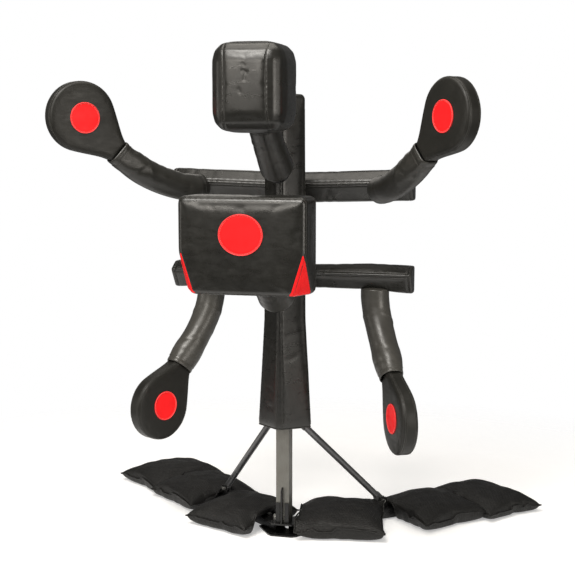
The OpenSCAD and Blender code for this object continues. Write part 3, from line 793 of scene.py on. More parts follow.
def rim_ring(tree, R, cx, cz, frac, lift, squash_z=1.0, start=-0.2, n=160):
    P = []
    for k in range(n):
        a = 2 * math.pi * k / n
        x, z = cx + R * frac * math.cos(a), cz + R * frac * squash_z * math.sin(a)
        hit, nn, i, dist = tree.ray_cast(Vector((x, start, z)), Vector((0, 1, 0)))
        P.append((x, (hit.y if hit else 0) - lift, z))
    return np.array(P)


def red_target(name, tree, R, cx, cz, squash_z=1.0, start=-0.2):
    v, f = disc(tree, R, cx, cz, 0.0011, squash_z=squash_z, start=start)
    ob = new_object(name, v, f, RED)
    recalc(ob)
    if np.mean([p.normal.y for p in ob.data.polygons]) > 0:
        ob.data.flip_normals()
    return ob


TARGET = red_target("target_base", TREE, 0.054, 0, -0.008)
ring = rim_ring(TREE, 0.054, 0, -0.008, 0.972, 0.0021)
v, f = tube(ring, 0.0013, 8, closed=True)
RIM = new_object("rim_base", v, f, RED_RIM)
ring = rim_ring(TREE, 0.054, 0, -0.008, 0.915, 0.0012)
v, f = stitches(ring, np.tile([0, -1.0, 0], (len(ring), 1)), 0.0052, 0.0034, 0.0006, closed=True)
RSTITCH = new_object("stitch_base", v, f, RED_THREAD)

# piping beside the seams, sunk into the groove
pipes = []
for s in PADDLE_SEAMS:
    P, N = on_surface(TREE, densify(s[:-1], 0.006), 0.00055)
    P = smooth_line(P, 2, True)
    pipes.append(tube(P, 0.00115, 6, closed=True))
v, f = join(pipes)
PIPE = new_object("pipe_base", v, f, SEAM)
dash = []
for s, dy in zip(PADDLE_SEAMS, (0.0052, -0.0052)):
    line = densify([p + np.array([0, dy, 0]) for p in s[:-1]], 0.004)
    P, N = on_surface(TREE, line, 0.0002)
    dash.append(stitches(smooth_line(P, 1, True), N, 0.0060, 0.0038, 0.00050, closed=True))
v, f = join(dash)
PSTITCH = new_object("pstitch_base", v, f, THREAD)

for limb, c, rz, ry in (("arm", ARM_C, ARM_RZ, ARM_RY), ("leg", LEG_C, LEG_RZ, LEG_RY)):
    for side in ("right", "left"):
        M = limb_matrix(c, rz, ry)
        flip = side == "left"
        if flip:
            M = MIRROR @ M
        body = f"{limb}_{side}"
        place(transformed_copy(PADDLE, body + "_pad", M, flip), body, "pad_vinyl", body + "_paddle", pad=0.9)
        place(transformed_copy(TARGET, body + "_disc", M, flip), body, "red_vinyl", body + "_target")
        place(transformed_copy(RIM, body + "_disc_rim", M, flip), body, "red_vinyl")
        place(transformed_copy(RSTITCH, body + "_disc_thread", M, flip), body, "red_vinyl")
        place(transformed_copy(PIPE, body + "_piping", M, flip), body, "pad_vinyl")
        place(transformed_copy(PSTITCH, body + "_thread", M, flip), body, "pad_vinyl")
for ob in (PADDLE, TARGET, RIM, RSTITCH, PIPE, PSTITCH):
    bpy.data.objects.remove(ob)


# ---------------------------------------------------------------------- head
HC = np.array([0, -0.380, 1.650])
HW, HD, HH, HCH = 0.258, 0.250, 0.300, 0.054


def round_polygon(poly, radii, per=5):
    """Closed 2D polygon with rounded corners, evenly divided along its straights."""
    poly = [np.array(p, float) for p in poly]
    n = len(poly)
    out = []
    for i in range(n):
        a, b, c = poly[i - 1], poly[i], poly[(i + 1) % n]
        u, w = unit(a - b), unit(c - b)
        ang = math.acos(max(-1, min(1, u @ w)))
        r = radii[i]
        t = min(r / math.tan(ang / 2), 0.45 * np.linalg.norm(a - b), 0.45 * np.linalg.norm(c - b))
        p0, p1 = b + u * t, b + w * t
        for k in range(per + 1):
            s = k / per
            out.append((1 - s) ** 2 * p0 + 2 * s * (1 - s) * b + s * s * p1)
    return out


def resample(poly, count):
    P = np.array(poly + [poly[0]])
    s = np.concatenate([[0], np.cumsum(np.linalg.norm(np.diff(P, axis=0), axis=1))])
    t = np.linspace(0, s[-1], count, endpoint=False)
    return np.stack([np.interp(t, s, P[:, a]) for a in range(P.shape[1])], 1)


def rounded_hull(name, planes, r, dirs, material):
    """The solid inside all planes (n . x <= d), with every edge rounded to radius r."""
    N = np.array([unit(p[0]) for p in planes])
    D = np.array([p[1] / np.linalg.norm(p[0]) for p in planes]) - r
    pts = []
    for i in range(len(N)):
        for j in range(i + 1, len(N)):
            for k in range(j + 1, len(N)):
                A = N[[i, j, k]]
                if abs(np.linalg.det(A)) > 1e-3:
                    q = np.linalg.solve(A, D[[i, j, k]])
                    if (N @ q <= D + 1e-7).all():
                        pts.append(q)
    pts = np.array(pts)
    return hull_object(name, (pts[:, None, :] + r * dirs[None]).reshape(-1, 3), material)


def sphere_dirs(step):
    out = []
    for la in range(-90, 91, step):
        for lo in range(0, 360, step):
            a, b = math.radians(la), math.radians(lo)
            out.append((math.cos(a) * math.cos(b), math.cos(a) * math.sin(b), math.sin(a)))
            if abs(la) == 90:
                break
    return np.array(out)


def make_head():
    i = 0.0030
    w, d, h, c = HW / 2 - i, HD / 2 - i, HH / 2 - i, HCH
    planes = []
    for ax, half in ((0, w), (1, d), (2, h)):
        for sg in (-1, 1):
            n = np.zeros(3)
            n[ax] = sg
            planes.append((n, half + sg * HC[ax]))
    ob = rounded_hull("head_pad_cover", planes, c + 0.006, sphere_dirs(30), PAD)
    bevel(ob, 0.006, 2, 10)
    remesh(ob, 0.0052)
    relax(ob, 3, 0.5)
    puff(ob, 4.0, 0.0046)
    relax(ob, 2, 0.4)
    lumps(ob, 7.0, 0.0010, 1.7)
    tree = bvh_of(ob)
    f = w - c
    lines = []
    for sx in (-1, 1):
        loop = [(sx * f, -d, -(h - c)), (sx * f, -d, h - c), (sx * (w - c * 0.95), -(d - c), h), (sx * (w - c * 0.95), d - c, h),
                (sx * f, d, h - c), (sx * f, d, -(h - c)), (sx * (w - c * 0.95), d - c, -h), (sx * (w - c * 0.95), -(d - c), -h),
                (sx * f, -d, -(h - c))]
        P, N = on_surface(tree, densify([np.array(p) + HC for p in loop], 0.006)[:-1], 0)
        lines.append((smooth_line(P, 4, True), N))
    subdivide(ob, 1)
    groove(ob, [list(P) + [P[0]] for P, N in lines], 0.0024, 0.0018, pucker=0.0005, pitch=0.018)
    # a few shallow pulls on the front face
    c0, n0 = coords(ob), normals(ob)
    front = smoothstep((-n0[:, 1] - 0.6) / 0.3)
    pulls = [((-0.004, -0.5, 1.700), (0.010, -0.5, 1.694), 0.0011), ((0.004, -0.5, 1.688), (0.001, -0.5, 1.672), 0.0008),
             ((-0.018, -0.5, 1.640), (-0.014, -0.5, 1.632), 0.0007), ((-0.004, -0.5, 1.722), (0.001, -0.5, 1.716), 0.0008)]
    off = np.zeros(len(c0))
    for a, b, dep in pulls:
        q = c0.copy()
        q[:, 1] = -0.5
        dd, s = seg_distance(q, [a, b])
        off += dep * np.exp(-((dd / 0.006) ** 2))
    set_coords(ob, c0 - n0 * (off * front)[:, None])
    return ob, lines


HEAD, HEAD_LINES = make_head()
place(HEAD, "head", "pad_vinyl", "head_pad", pad=0.9)
head_tree = bvh_of(HEAD)
parts, dashes = [], []
for P, N in HEAD_LINES:
    Q, N2 = on_surface(head_tree, P, 0.0006)
    parts.append(tube(smooth_line(Q, 1, True), 0.0012, 6, closed=True))
    side = np.sign(P[0][0])
    Q, N2 = on_surface(head_tree, P + np.array([side * 0.0065, 0, 0]), 0.0002)
    dashes.append(stitches(smooth_line(Q, 1, True), N2, 0.0062, 0.0040, 0.0005, closed=True))
v, f = join(parts)
place(new_object("head_seam_piping", v, f, SEAM), "head", "pad_vinyl")
v, f = join(dashes)
place(new_object("head_thread", v, f, THREAD), "head", "pad_vinyl")


# --------------------------------------------------------------------- torso
TX, TY0, TY1, TZ0, TZ1 = 0.215, -0.548, -0.395, 0.978, 1.298


FOOT_X, FOOT_Y, APEX_Z = 0.170, -0.452, 1.112
TZB = 0.970


def make_torso():
    i = 0.001
    planes = [((1, 0, 0), TX + 0.0055), ((-1, 0, 0), TX + 0.0055), ((0, -1, 0), -TY0 - i), ((0, 1, 0), TY1 - 0.001), ((0, 0, 1), TZ1 - 0.002), ((0, 0, -1), -TZB - i)]
    for sx in (-1, 1):
        A, B, C = (np.array(p) for p in ((sx * TX, TY0, APEX_Z), (sx * FOOT_X, TY0, TZB), (sx * TX, FOOT_Y, TZB)))
        n = unit(np.cross(B - A, C - A))
        n = -n if n[1] > 0 else n
        planes.append((n, float(n @ A) - 0.002))
    ob = rounded_hull("torso_pad_cover", planes, 0.021, sphere_dirs(15), PAD)
    remesh(ob, 0.0062)
    relax(ob, 2, 0.5)
    c = coords(ob)
    hold = smoothstep((c[:, 1] - (TY1 - 0.016)) / 0.010)
    puff(ob, 4.0, 0.0060, hold=hold)
    relax(ob, 2, 0.4)
    lumps(ob, 5.0, 0.0012, 4.4)
    tree = bvh_of(ob)
    seams = []
    # front panel outline, just inside the rolled edge
    q = round_polygon([(-TX, TZ1), (TX, TZ1), (TX, APEX_Z), (FOOT_X, TZB), (-FOOT_X, TZB), (-TX, APEX_Z)], [0.026, 0.026, 0.02, 0.02, 0.02, 0.02], 6)
    loop = []
    for x, z in resample(q, 260):
        o = np.array([x, TY0 + 0.012, z])
        m = np.array([0, TY0 + 0.012, 1.14])
        hit, nn, k, dd = tree.ray_cast(Vector(o + (o - m) * 0.2), Vector(unit(m - o)))
        loop.append(np.array(hit) if hit else o)
    P, N = on_surface(tree, loop, 0)
    seams.append((smooth_line(P, 3, True), N))
    yb = TY1 - 0.012
    q = round_polygon([(-TX, TZ1), (TX, TZ1), (TX, TZB), (-TX, TZB)], [0.026] * 4, 6)
    loop = []
    for x, z in resample(q, 260):
        o = np.array([x, TY1 - 0.030, z])
        m = np.array([0, TY1 - 0.030, 1.14])
        hit, nn, k, dd = tree.ray_cast(Vector(o + (o - m) * 0.2), Vector(unit(m - o)))
        loop.append(np.array(hit) if hit else o)
    P, N = on_surface(tree, loop, 0)
    seams.append((smooth_line(P, 3, True), N))
    corner = []
    for sx in (-1, 1):
        line = densify([(sx * (TX - 0.004), TY0 + 0.014, TZ1 - 0.004), (sx * (TX - 0.004), TY1 - 0.030, TZ1 - 0.004)], 0.006)
        P, N = on_surface(tree, line, 0)
        corner.append((smooth_line(P, 2), N))
    subdivide(ob, 1)
    groove(ob, [list(P) + [P[0]] for P, N in seams] + [list(P) for P, N in corner], 0.0026, 0.0019, pucker=0.0007, pitch=0.021)
    return ob, seams, corner


TORSO, TORSO_SEAMS, TORSO_CORNER = make_torso()
place(TORSO, "torso", "pad_vinyl", "torso_pad", pad=0.85)
torso_tree = bvh_of(TORSO)
parts, dashes = [], []
for P, N in TORSO_SEAMS:
    Q, N2 = on_surface(torso_tree, P, 0.0006)
    parts.append(tube(smooth_line(Q, 1, True), 0.0014, 6, closed=True))
for P, N in TORSO_CORNER:
    Q, N2 = on_surface(torso_tree, P, 0.0005)
    parts.append(tube(smooth_line(Q, 1), 0.0012, 6))
P = TORSO_SEAMS[0][0]
cen = np.array([0, TY0, 1.15])
Q = P + (cen - P) * 0.030
Q[:, 1] = P[:, 1] - 0.002
Q, N2 = on_surface(torso_tree, Q, 0.0002)
dashes.append(stitches(smooth_line(Q, 1, True), N2, 0.0066, 0.0042, 0.00055, closed=True))
v, f = join(parts)
place(new_object("torso_piping", v, f, SEAM), "torso", "pad_vinyl")
v, f = join(dashes)
place(new_object("torso_thread", v, f, THREAD), "torso", "pad_vinyl")

# red oval on the front, and the red folded corners
oval = red_target("torso_oval", torso_tree, 0.076, 0, 1.172, 68 / 76, start=-0.7)
ring = rim_ring(torso_tree, 0.076, 0, 1.172, 0.975, 0.0022, 68 / 76, -0.7, 200)
v, f = tube(ring, 0.0016, 8, closed=True)
oval_rim = new_object("torso_oval_rim", v, f, RED_RIM)
ring = rim_ring(torso_tree, 0.076, 0, 1.172, 0.925, 0.0012, 68 / 76, -0.7, 200)
v, f = stitches(ring, np.tile([0, -1.0, 0], (len(ring), 1)), 0.0058, 0.0038, 0.00065, closed=True)
oval_thread = new_object("torso_oval_thread", v, f, RED_THREAD)


def corner_patch(sx):
    """Triangular patch on a lower front corner facet, its edges turned over the facet's edges."""
    A = np.array([sx * TX, TY0, APEX_Z])
    B = np.array([sx * FOOT_X, TY0, TZB])
    C = np.array([sx * TX, FOOT_Y, TZB])
    nrm = unit(np.cross(B - A, C - A))
    if nrm[1] > 0:
        nrm = -nrm
    cen = (A + B + C) / 3
    n = 26
    idx, verts = {}, []
    for i in range(n + 1):
        for j in range(n + 1 - i):
            a, b = i / n, j / n
            p = A * (1 - a - b) + B * a + C * b
            edge = min(a, b, 1 - a - b)
            p = cen + (p - cen) * 1.03
            hit, nn, k, d = torso_tree.ray_cast(Vector(p + nrm * 0.05), Vector(-nrm))
            if hit is None or (Vector(p) - hit).length > 0.02:
                hit, nn, k, d = torso_tree.find_nearest(Vector(p))
            h = 0.0014 + 0.0007 * math.exp(-(((edge - 0.035) / 0.02) ** 2))
            if edge < 0.004:
                h = -0.0012
            fold = 0.0012 * math.exp(-(((a - b * 0.9 - 0.10) / 0.030) ** 2)) * smoothstep(edge / 0.1)
            idx[i, j] = len(verts)
            verts.append(np.array(hit) + np.array(nn) * (h - float(fold)))
    faces = []
    for i in range(n):
        for j in range(n - i):
            faces.append((idx[i, j], idx[i + 1, j], idx[i, j + 1]))
            if j < n - i - 1:
                faces.append((idx[i + 1, j], idx[i + 1, j + 1], idx[i, j + 1]))
    return verts, faces


for sx, side in ((1, "right"), (-1, "left")):
    v, f = corner_patch(sx)
    ob = new_object(f"torso_corner_{side}", v, f, RED)
    recalc(ob)
    if np.mean([p.normal.y for p in ob.data.polygons]) > 0:
        ob.data.flip_normals()
    subdivide(ob, 1)
    place(ob, "torso", "red_vinyl")
place(oval, "torso", "red_vinyl", "torso_red_panels")
place(oval_rim, "torso", "red_vinyl")
place(oval_thread, "torso", "red_vinyl")


# ------------------------------------------------------- lofted post and bars
def loft(rings):
    """Closed skin through equal rings, shut with one flat face at each end; any rounding comes from the rings passed
    in.
    """
    n = len(rings[0])
    verts = [p for r in rings for p in r]
    faces = []
    for j in range(len(rings) - 1):
        for i in range(n):
            a, b = j * n + i, j * n + (i + 1) % n
            faces.append((a, b, b + n, a + n))
    faces.append(tuple(reversed(range(n))))
    faces.append(tuple(range((len(rings) - 1) * n, len(rings) * n)))
    return verts, faces


def spine_section(z, inset=0.003):
    t = np.clip((z - 0.408) / (0.820 - 0.408), 0, 1)
    hw = (0.105 + (0.082 - 0.105) * t)
    if z > 0.82:
        hw = 0.082 + (0.078 - 0.082) * (z - 0.82) / (1.622 - 0.82)
    ridge = -0.072 + 0.006 * (z - 0.408) / 1.2
    rw = 0.010 + (0.005 - 0.010) * t
    hw -= inset
    return [(-hw, 0.014), (-hw + 0.014, 0.031 - inset * 0.5), (hw - 0.014, 0.031 - inset * 0.5), (hw, 0.014), (hw, 0.003), (rw, ridge + inset), (-rw, ridge + inset), (-hw, 0.003)]


def make_spine():
    rings = []
    zs = list(np.arange(0.411, 1.620, 0.0095)) + [1.624, 1.629, 1.633, 1.637, 1.640, 1.642]
    for z in zs:
        p = round_polygon(spine_section(z), [0.010, 0.010, 0.010, 0.010, 0.009, 0.004, 0.004, 0.009], 4)
        q = resample(p, 72)
        if z > 1.622:
            f = (z - 1.622) / 0.020
            k = math.sqrt(max(0.0, 1 - 0.90 * f * f))
            cen = np.array([0, 0.004])
            q = cen + (q - cen) * np.array([0.72 + 0.28 * k, 0.60 + 0.40 * k])
        if z < 0.425:
            f = (0.425 - z) / 0.014
            q = np.array([0, 0.0]) + (q - np.array([0, 0.0])) * (1 - 0.055 * f * f)
        rings.append([(x, y, z) for x, y in q])
    v, f = loft(rings)
    ob = new_object("spine_pad_cover", v, f, PAD)
    recalc(ob)
    c = coords(ob)
    hold = smoothstep((c[:, 1] - 0.018) / 0.008)
    puff(ob, 4.0, 0.0042, hold=hold)
    c, n = coords(ob), normals(ob)
    # faint folds across the faces, where the cover is drawn round the post
    off = np.zeros(len(c))
    rs = np.random.default_rng(3)
    for k in range(16):
        z0 = rs.uniform(0.45, 1.60)
        side = rs.choice([-1, 1])
        slope = rs.uniform(-0.35, 0.35)
        w = rs.uniform(0.005, 0.011)
        reach = smoothstep((side * c[:, 0] - 0.006) / 0.02) * smoothstep((0.072 + 0.02 * rs.random() - side * c[:, 0]) / 0.03)
        dz = c[:, 2] - (z0 + slope * side * c[:, 0] + 0.004 * np.sin(c[:, 0] * 90 + k))
        off += rs.uniform(0.0006, 0.0014) * np.exp(-((dz / w) ** 2)) * reach
    front = smoothstep((0.02 - c[:, 1]) / 0.02)
    set_coords(ob, c - n * (off * front)[:, None])
    lumps(ob, 6.0, 0.0010, 8.8, (1, 1, 0.6))
    subdivide(ob, 1)
    # welts either side of the ridge strip, and hems at the outer edges
    seams = []
    for sx in (-1, 1):
        seams.append([np.array([sx * (0.0075 + 0.005 * (1 - min(1, (z - 0.408) / 0.412))), -0.075, z]) for z in np.arange(0.425, 1.600, 0.012)])
        seams.append([np.array([sx * 0.2, 0.010, z]) for z in np.arange(0.425, 1.600, 0.012)])
    tree = bvh_of(ob)
    lines = []
    for s in seams:
        P = []
        for p in s:
            if abs(p[0]) > 0.1:
                hit, nn, k, d = tree.ray_cast(Vector(p), Vector((-np.sign(p[0]), 0, 0)))
            else:
                hit, nn, k, d = tree.ray_cast(Vector((p[0], -0.2, p[2])), Vector((0, 1, 0)))
            P.append(np.array(hit))
        lines.append(smooth_line(P, 2))
    groove(ob, [list(P) for P in lines], 0.0026, 0.0018, pucker=0.0005, pitch=0.024)
    return ob, lines


SPINE, SPINE_LINES = make_spine()
place(SPINE, "stand", "pad_vinyl", "spine_pad", pad=0.85)
spine_tree = bvh_of(SPINE)
parts = []
for P in SPINE_LINES:
    Q, N = on_surface(spine_tree, P, 0.0006)
    parts.append(tube(smooth_line(Q, 1), 0.0013, 6))
# hem bead round the open skirt at the bottom
sec = resample(round_polygon(spine_section(0.412, 0.001), [0.010] * 4 + [0.009, 0.004, 0.004, 0.009], 4), 90)
Q, N = on_surface(spine_tree, [(x, y, 0.4165) for x, y in sec], 0.0004)
Q[:, 2] = 0.4165
parts.append(tube(smooth_line(Q, 1, True), 0.0019, 8, closed=True))
v, f = join(parts)
place(new_object("spine_piping", v, f, SEAM), "stand", "pad_vinyl")


def bar_section(zc, up, dn, ridge, yf, inset=0.003):
    i = inset
    return [(yf + i, ridge), (yf + 0.004 + i, ridge + 0.005), (0.098, up - i), (0.138, up - i), (0.146 - i, up - 0.009), (0.146 - i, -dn + 0.009),
            (0.138, -dn + i), (0.098, -dn + i), (yf + 0.004 + i, ridge - 0.006)]


def make_bar(name, upper):
    hl = 0.465
    rings = []
    tip = [0.003, 0.0045, 0.007, 0.011, 0.016, 0.023]
    xs = np.concatenate([[-hl + t for t in tip], np.linspace(-hl + 0.031, hl - 0.031, 103), [hl - t for t in reversed(tip)]])
    for x in xs:
        a = abs(x)
        if upper:
            zc = 1.300 + 0.014 * min(1, a / (hl - 0.012))
            up = dn = 0.060
            ridge = 0.012
        else:
            zc = 0.970
            if a < 0.300:
                t = a / 0.300
                up, dn, ridge = 0.044 + 0.010 * t, 0.044 + 0.003 * t, 0.016
            else:
                t = min(1, (a - 0.300) / (hl - 0.312))
                up, dn, ridge = 0.054 - 0.004 * t, 0.047 + 0.010 * t, 0.016 + 0.001 * t
        yf = 0.046
        p = round_polygon(bar_section(zc, up, dn, ridge, yf), [0.004, 0.004, 0.016, 0.010, 0.008, 0.008, 0.010, 0.016, 0.004], 4)
        q = resample(p, 64)
        e = (a - (hl - 0.015)) / 0.015
        if e > 0:
            k = math.sqrt(max(0.0, 1 - e * e * 0.96))
            cen = np.array([0.098, 0.0])
            q = cen + (q - cen) * np.array([0.76 + 0.24 * k, 0.80 + 0.20 * k])
        rings.append([(x, y, zc + z) for y, z in q])
    v, f = loft(rings)
    ob = new_object(name, v, f, PAD)
    recalc(ob)
    c = coords(ob)
    hold = smoothstep((c[:, 1] - 0.132) / 0.008)
    puff(ob, 4.0, 0.0050, hold=hold)
    c, n = coords(ob), normals(ob)
    off = np.zeros(len(c))
    rs = np.random.default_rng(11 if upper else 12)
    for k in range(14):
        x0 = rs.uniform(-0.44, 0.44)
        w = rs.uniform(0.005, 0.012)
        tilt = rs.uniform(-0.5, 0.5)
        dx = c[:, 0] - (x0 + tilt * (c[:, 2] - c[:, 2].mean()))
        band = smoothstep((c[:, 1] - 0.052) / 0.02)
        off += rs.uniform(0.0004, 0.0012) * np.exp(-((dx / w) ** 2)) * band
    set_coords(ob, c - n * off[:, None])
    lumps(ob, 6.5, 0.0013, 15.0 if upper else 21.0, (0.6, 1, 1))
    subdivide(ob, 1)
    tree = bvh_of(ob)
    zr = 1.300 if upper else 0.970
    lines = []
    for dz, lim in ((0.0085, 0.452), (-0.0095, 0.452)):
        P = []
        for x in np.arange(-lim, lim + 0.001, 0.010):
            rise = 0.014 * min(1, abs(x) / 0.453) if upper else 0
            z = zr + (0.012 if upper else 0.016) + rise + dz
            hit, nn, k, d = tree.ray_cast(Vector((x, -0.1, z)), Vector((0, 1, 0)))
            if hit:
                P.append(np.array(hit))
        lines.append(smooth_line(P, 2))
    groove(ob, [list(P) for P in lines], 0.0028, 0.0022, pucker=0.0006, pitch=0.024)
    # end seams, where the end panels are sewn in
    ends = []
    for sx in (-1, 1):
        q = resample(round_polygon(bar_section(0, 0.060 if upper else 0.050, 0.060 if upper else 0.057, 0.012 if upper else 0.017, 0.046, -0.002),
                                   [0.004, 0.004, 0.016, 0.010, 0.008, 0.008, 0.010, 0.016, 0.004], 4), 72)
        P, N = on_surface(bvh_of(ob), [(sx * 0.447, y, (1.314 if upper else 0.970) + z) for y, z in q], 0)
        P[:, 0] = sx * 0.447
        ends.append(smooth_line(P, 1, True))
    groove(ob, [list(P) + [P[0]] for P in ends], 0.0026, 0.0018)
    return ob, lines, ends


BAR_TREES = {}
for name, node, upper in (("upper_bar_cover", "upper_bar_pad", True), ("lower_bar_cover", "lower_bar_pad", False)):
    ob, lines, ends = make_bar(name, upper)
    place(ob, "stand", "pad_vinyl", node, pad=0.85)
    tree = bvh_of(ob)
    BAR_TREES[node] = tree
    parts = []
    for P in lines:
        Q, N = on_surface(tree, P, 0.0007)
        parts.append(tube(smooth_line(Q, 1), 0.0016, 6))
    for P in ends:
        Q, N = on_surface(tree, P, 0.0005)
        parts.append(tube(smooth_line(Q, 1, True), 0.0012, 6, closed=True))
    v, f = join(parts)
    place(new_object(name + "_piping", v, f, SEAM), "stand", "pad_vinyl")


# --------------------------------------------------------- springs and sleeves
def coil_spring(name, P, turns, R=0.027, r=0.003, per=28, sides=8):
    pts = []
    N = None
    n = turns * per
    for i in range(n + 1):
        t = i / n
        T = bezd(P, t)
        N = unit(np.cross(T, (0.17, 0.31, 0.93))) if N is None else unit(N - T * (N @ T))
        B = np.cross(T, N)
        a = 2 * math.pi * turns * t
        pts.append(bez(P, t) + R * (math.cos(a) * N + math.sin(a) * B))
    v, f = tube(pts, r, sides)
    return new_object(name, v, f, SPRING)


def sleeve_shell(P, prof, e_end, n_len, n_around, wrinkle, wall=0.0032):
    """Bent fabric tube. prof(t) gives the two radii; e_end is the width direction at its far end.
    wrinkle(s, a) gives an outward offset. Returns the outer grid as an array."""
    T1 = bezd(P, 1.0)
    N = unit(e_end - T1 * (e_end @ T1))
    fr = []
    for i in range(n_len, -1, -1):
        T = bezd(P, i / n_len)
        N = unit(N - T * (N @ T))
        fr.append((T, N, np.cross(T, N)))
    fr.reverse()
    G = np.zeros((n_len + 1, n_around, 3))
    for i in range(n_len + 1):
        t = i / n_len
        T, N, B = fr[i]
        ra, rb, *ex = prof(t)
        ex = ex[0] if ex else 2.0
        c = bez(P, t)
        for k in range(n_around):
            a = 2 * math.pi * k / n_around
            off = wrinkle(t, a, N, B)
            ca, sa = math.cos(a), math.sin(a)
            q = (abs(ca) ** ex + abs(sa) ** ex) ** (-1.0 / ex)
            G[i, k] = c + (ra + off) * q * ca * N + (rb + off) * q * sa * B
    return G, fr


def grid_object(name, G, material, wall=0.003, hem_start=True, hem_end=True):
    """Turns an open grid tube into a shell with a wall and rolled hems."""
    n, m, _ = G.shape
    du = np.roll(G, -1, 1) - np.roll(G, 1, 1)
    dv = np.zeros_like(G)
    dv[1:-1] = G[2:] - G[:-2]
    dv[0], dv[-1] = G[1] - G[0], G[-1] - G[-2]
    nor = np.cross(du, dv)
    nor /= np.maximum(np.linalg.norm(nor, axis=2), 1e-9)[:, :, None]
    cen = G.mean(1, keepdims=True)
    if ((G - cen) * nor).sum() < 0:
        nor = -nor
    outer = G.copy()
    # hems: the last rows are doubled over and stand a little proud, with a stitched dip behind
    for on, rows in ((hem_start, range(0, 4)), (hem_end, range(n - 1, n - 5, -1))):
        if on:
            for j, i in enumerate(rows):
                outer[i] += nor[i] * (0.0016, 0.0020, 0.0012, -0.0009)[j]
    inner = G - nor * wall
    verts = list(outer.reshape(-1, 3)) + list(inner.reshape(-1, 3))
    faces = []
    o = n * m
    for i in range(n - 1):
        for k in range(m):
            a, b = i * m + k, i * m + (k + 1) % m
            faces.append((a, b, b + m, a + m))
            faces.append((o + a, o + a + m, o + b + m, o + b))
    for k in range(m):
        a, b = k, (k + 1) % m
        faces.append((a, o + a, o + b, b))
        a, b = (n - 1) * m + k, (n - 1) * m + (k + 1) % m
        faces.append((a, b, o + b, o + a))
    ob = new_object(name, verts, faces, material)
    recalc(ob)
    return ob, nor


def fold_field(seed, count, amp, t0=0.05, t1=0.95, slant=0.9, inner=None):
    """A fixed set of soft diagonal folds in the (t, angle) plane."""
    rs = np.random.default_rng(seed)
    folds = [(rs.uniform(t0, t1), rs.uniform(0, 2 * math.pi), rs.uniform(-slant, slant), rs.uniform(0.020, 0.050),
              rs.uniform(0.5, 1.3), rs.uniform(-1, 1) * amp) for _ in range(count)]

    def f(t, a):
        v = 0.0
        for ft, fa, sl, wt, wa, am in folds:
            da = (a - fa + math.pi) % (2 * math.pi) - math.pi
            dt = t - ft - sl * 0.10 * da
            v += am * math.exp(-((dt / wt) ** 2) - ((da / wa) ** 2))
        return v
    return f


def extend_to(tree, G, i_from, rows, direction, inset=0.0015, limit=0.16):
    """Adds rows that carry one end of a grid tube on to a surface, along direction."""
    base = G[i_from]
    end = []
    for p in base:
        hit, nn, k, d = tree.ray_cast(Vector(p), Vector(direction), limit)
        end.append(np.array(hit) + np.asarray(direction) * inset if hit else None)
    known = [e for e in end if e is not None]
    far = [np.linalg.norm(e - p) for e, p in zip(end, base) if e is not None]
    mean = float(np.median(far)) if far else 0.02
    end = [e if e is not None else p + np.asarray(direction) * mean for e, p in zip(end, base)]
    end = smooth_line(np.array(end), 1, True)
    return [base + (end - base) * s for s in np.linspace(0, 1, rows + 1)[1:]]


def torsion(side, fn):
    return fn


def build_sleeve(name, node, P, prof, e_end, material, wrinkle, start_tree=None, end_tree=None,
                 n_len=56, n_around=72, hem=(True, True), mirror=False, blend_line=None, drop=None,
                 start_dir=None, dome=None, start_z=None):
    G, fr = sleeve_shell(P, prof, e_end, n_len, n_around, wrinkle)
    rows = list(G)
    if dome is not None:      # rounded closed end, leaning on what is behind it
        d0, c0 = bezd(P, 0.0), G[0].mean(0)
        for k in range(1, 15):
            f = math.radians(88 * k / 14)
            lean = np.array([0, 0, 0.30]) * dome * (1 - math.cos(f))
            rows.insert(0, c0 - d0 * dome * math.sin(f) + (G[0] - c0) * max(math.cos(f), 0.06) + lean)
    if start_z is not None:   # straight up under a pad
        top = [np.column_stack([G[0][:, 0], G[0][:, 1], G[0][:, 2] + (start_z - G[0][:, 2]) * f]) for f in np.linspace(0, 1, 5)[1:]]
        rows = list(reversed(top)) + rows
        rim, c1 = rows[0], rows[0].mean(0)
        for k in range(1, 10):    # gathered shut, so no open end shows in front of the bar
            f = math.radians(88 * k / 9)
            rows.insert(0, c1 + (rim - c1) * max(math.cos(f), 0.06) + np.array([0, 0, 0.011 * math.sin(f)]))
    if start_tree is not None:
        d = -bezd(P, 0.0) if start_dir is None else np.asarray(start_dir, float)
        rows = list(reversed(extend_to(start_tree, G, 0, 7, d))) + rows
    if end_tree is not None:
        rows = rows + extend_to(end_tree, G, -1, 6, bezd(P, 1.0))
    G = np.array(rows)
    if drop is not None:
        G = drop(G)
    if mirror:
        G = G * np.array([-1, 1, 1])
    ob, nor = grid_object(name, G, material, hem_start=hem[0], hem_end=hem[1])
    subdivide(ob, 1)
    a, b = blend_line
    if mirror:
        a, b = a * np.array([-1, 1, 1]), b * np.array([-1, 1, 1])
    # hem stitches, one row near each open end
    dash = []
    for on, i in ((hem[0], 4), (hem[1], len(G) - 5)):
        if on:
            dash.append(stitches(G[i] + nor[i] * 0.0002, nor[i], 0.0062, 0.0040, 0.00055, closed=True))
    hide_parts(node)
    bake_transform(ob)
    if dash:
        v, f = join(dash)
        t = new_object(name + "_thread", v, f, THREAD)
        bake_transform(t)
    return ob


def spring_piece(name, node, p0, d0, j, u, turns, mirror=False):
    P = path(p0 + 0.010 * d0, d0, j - 0.0105 * u, u)
    ob = coil_spring(name, P, turns)
    if mirror:
        ob.data.transform(MIRROR)
        ob.data.flip_normals()
        p0, j = p0 * np.array([-1, 1, 1]), j * np.array([-1, 1, 1])
    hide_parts(node)
    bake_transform(ob)
    return ob


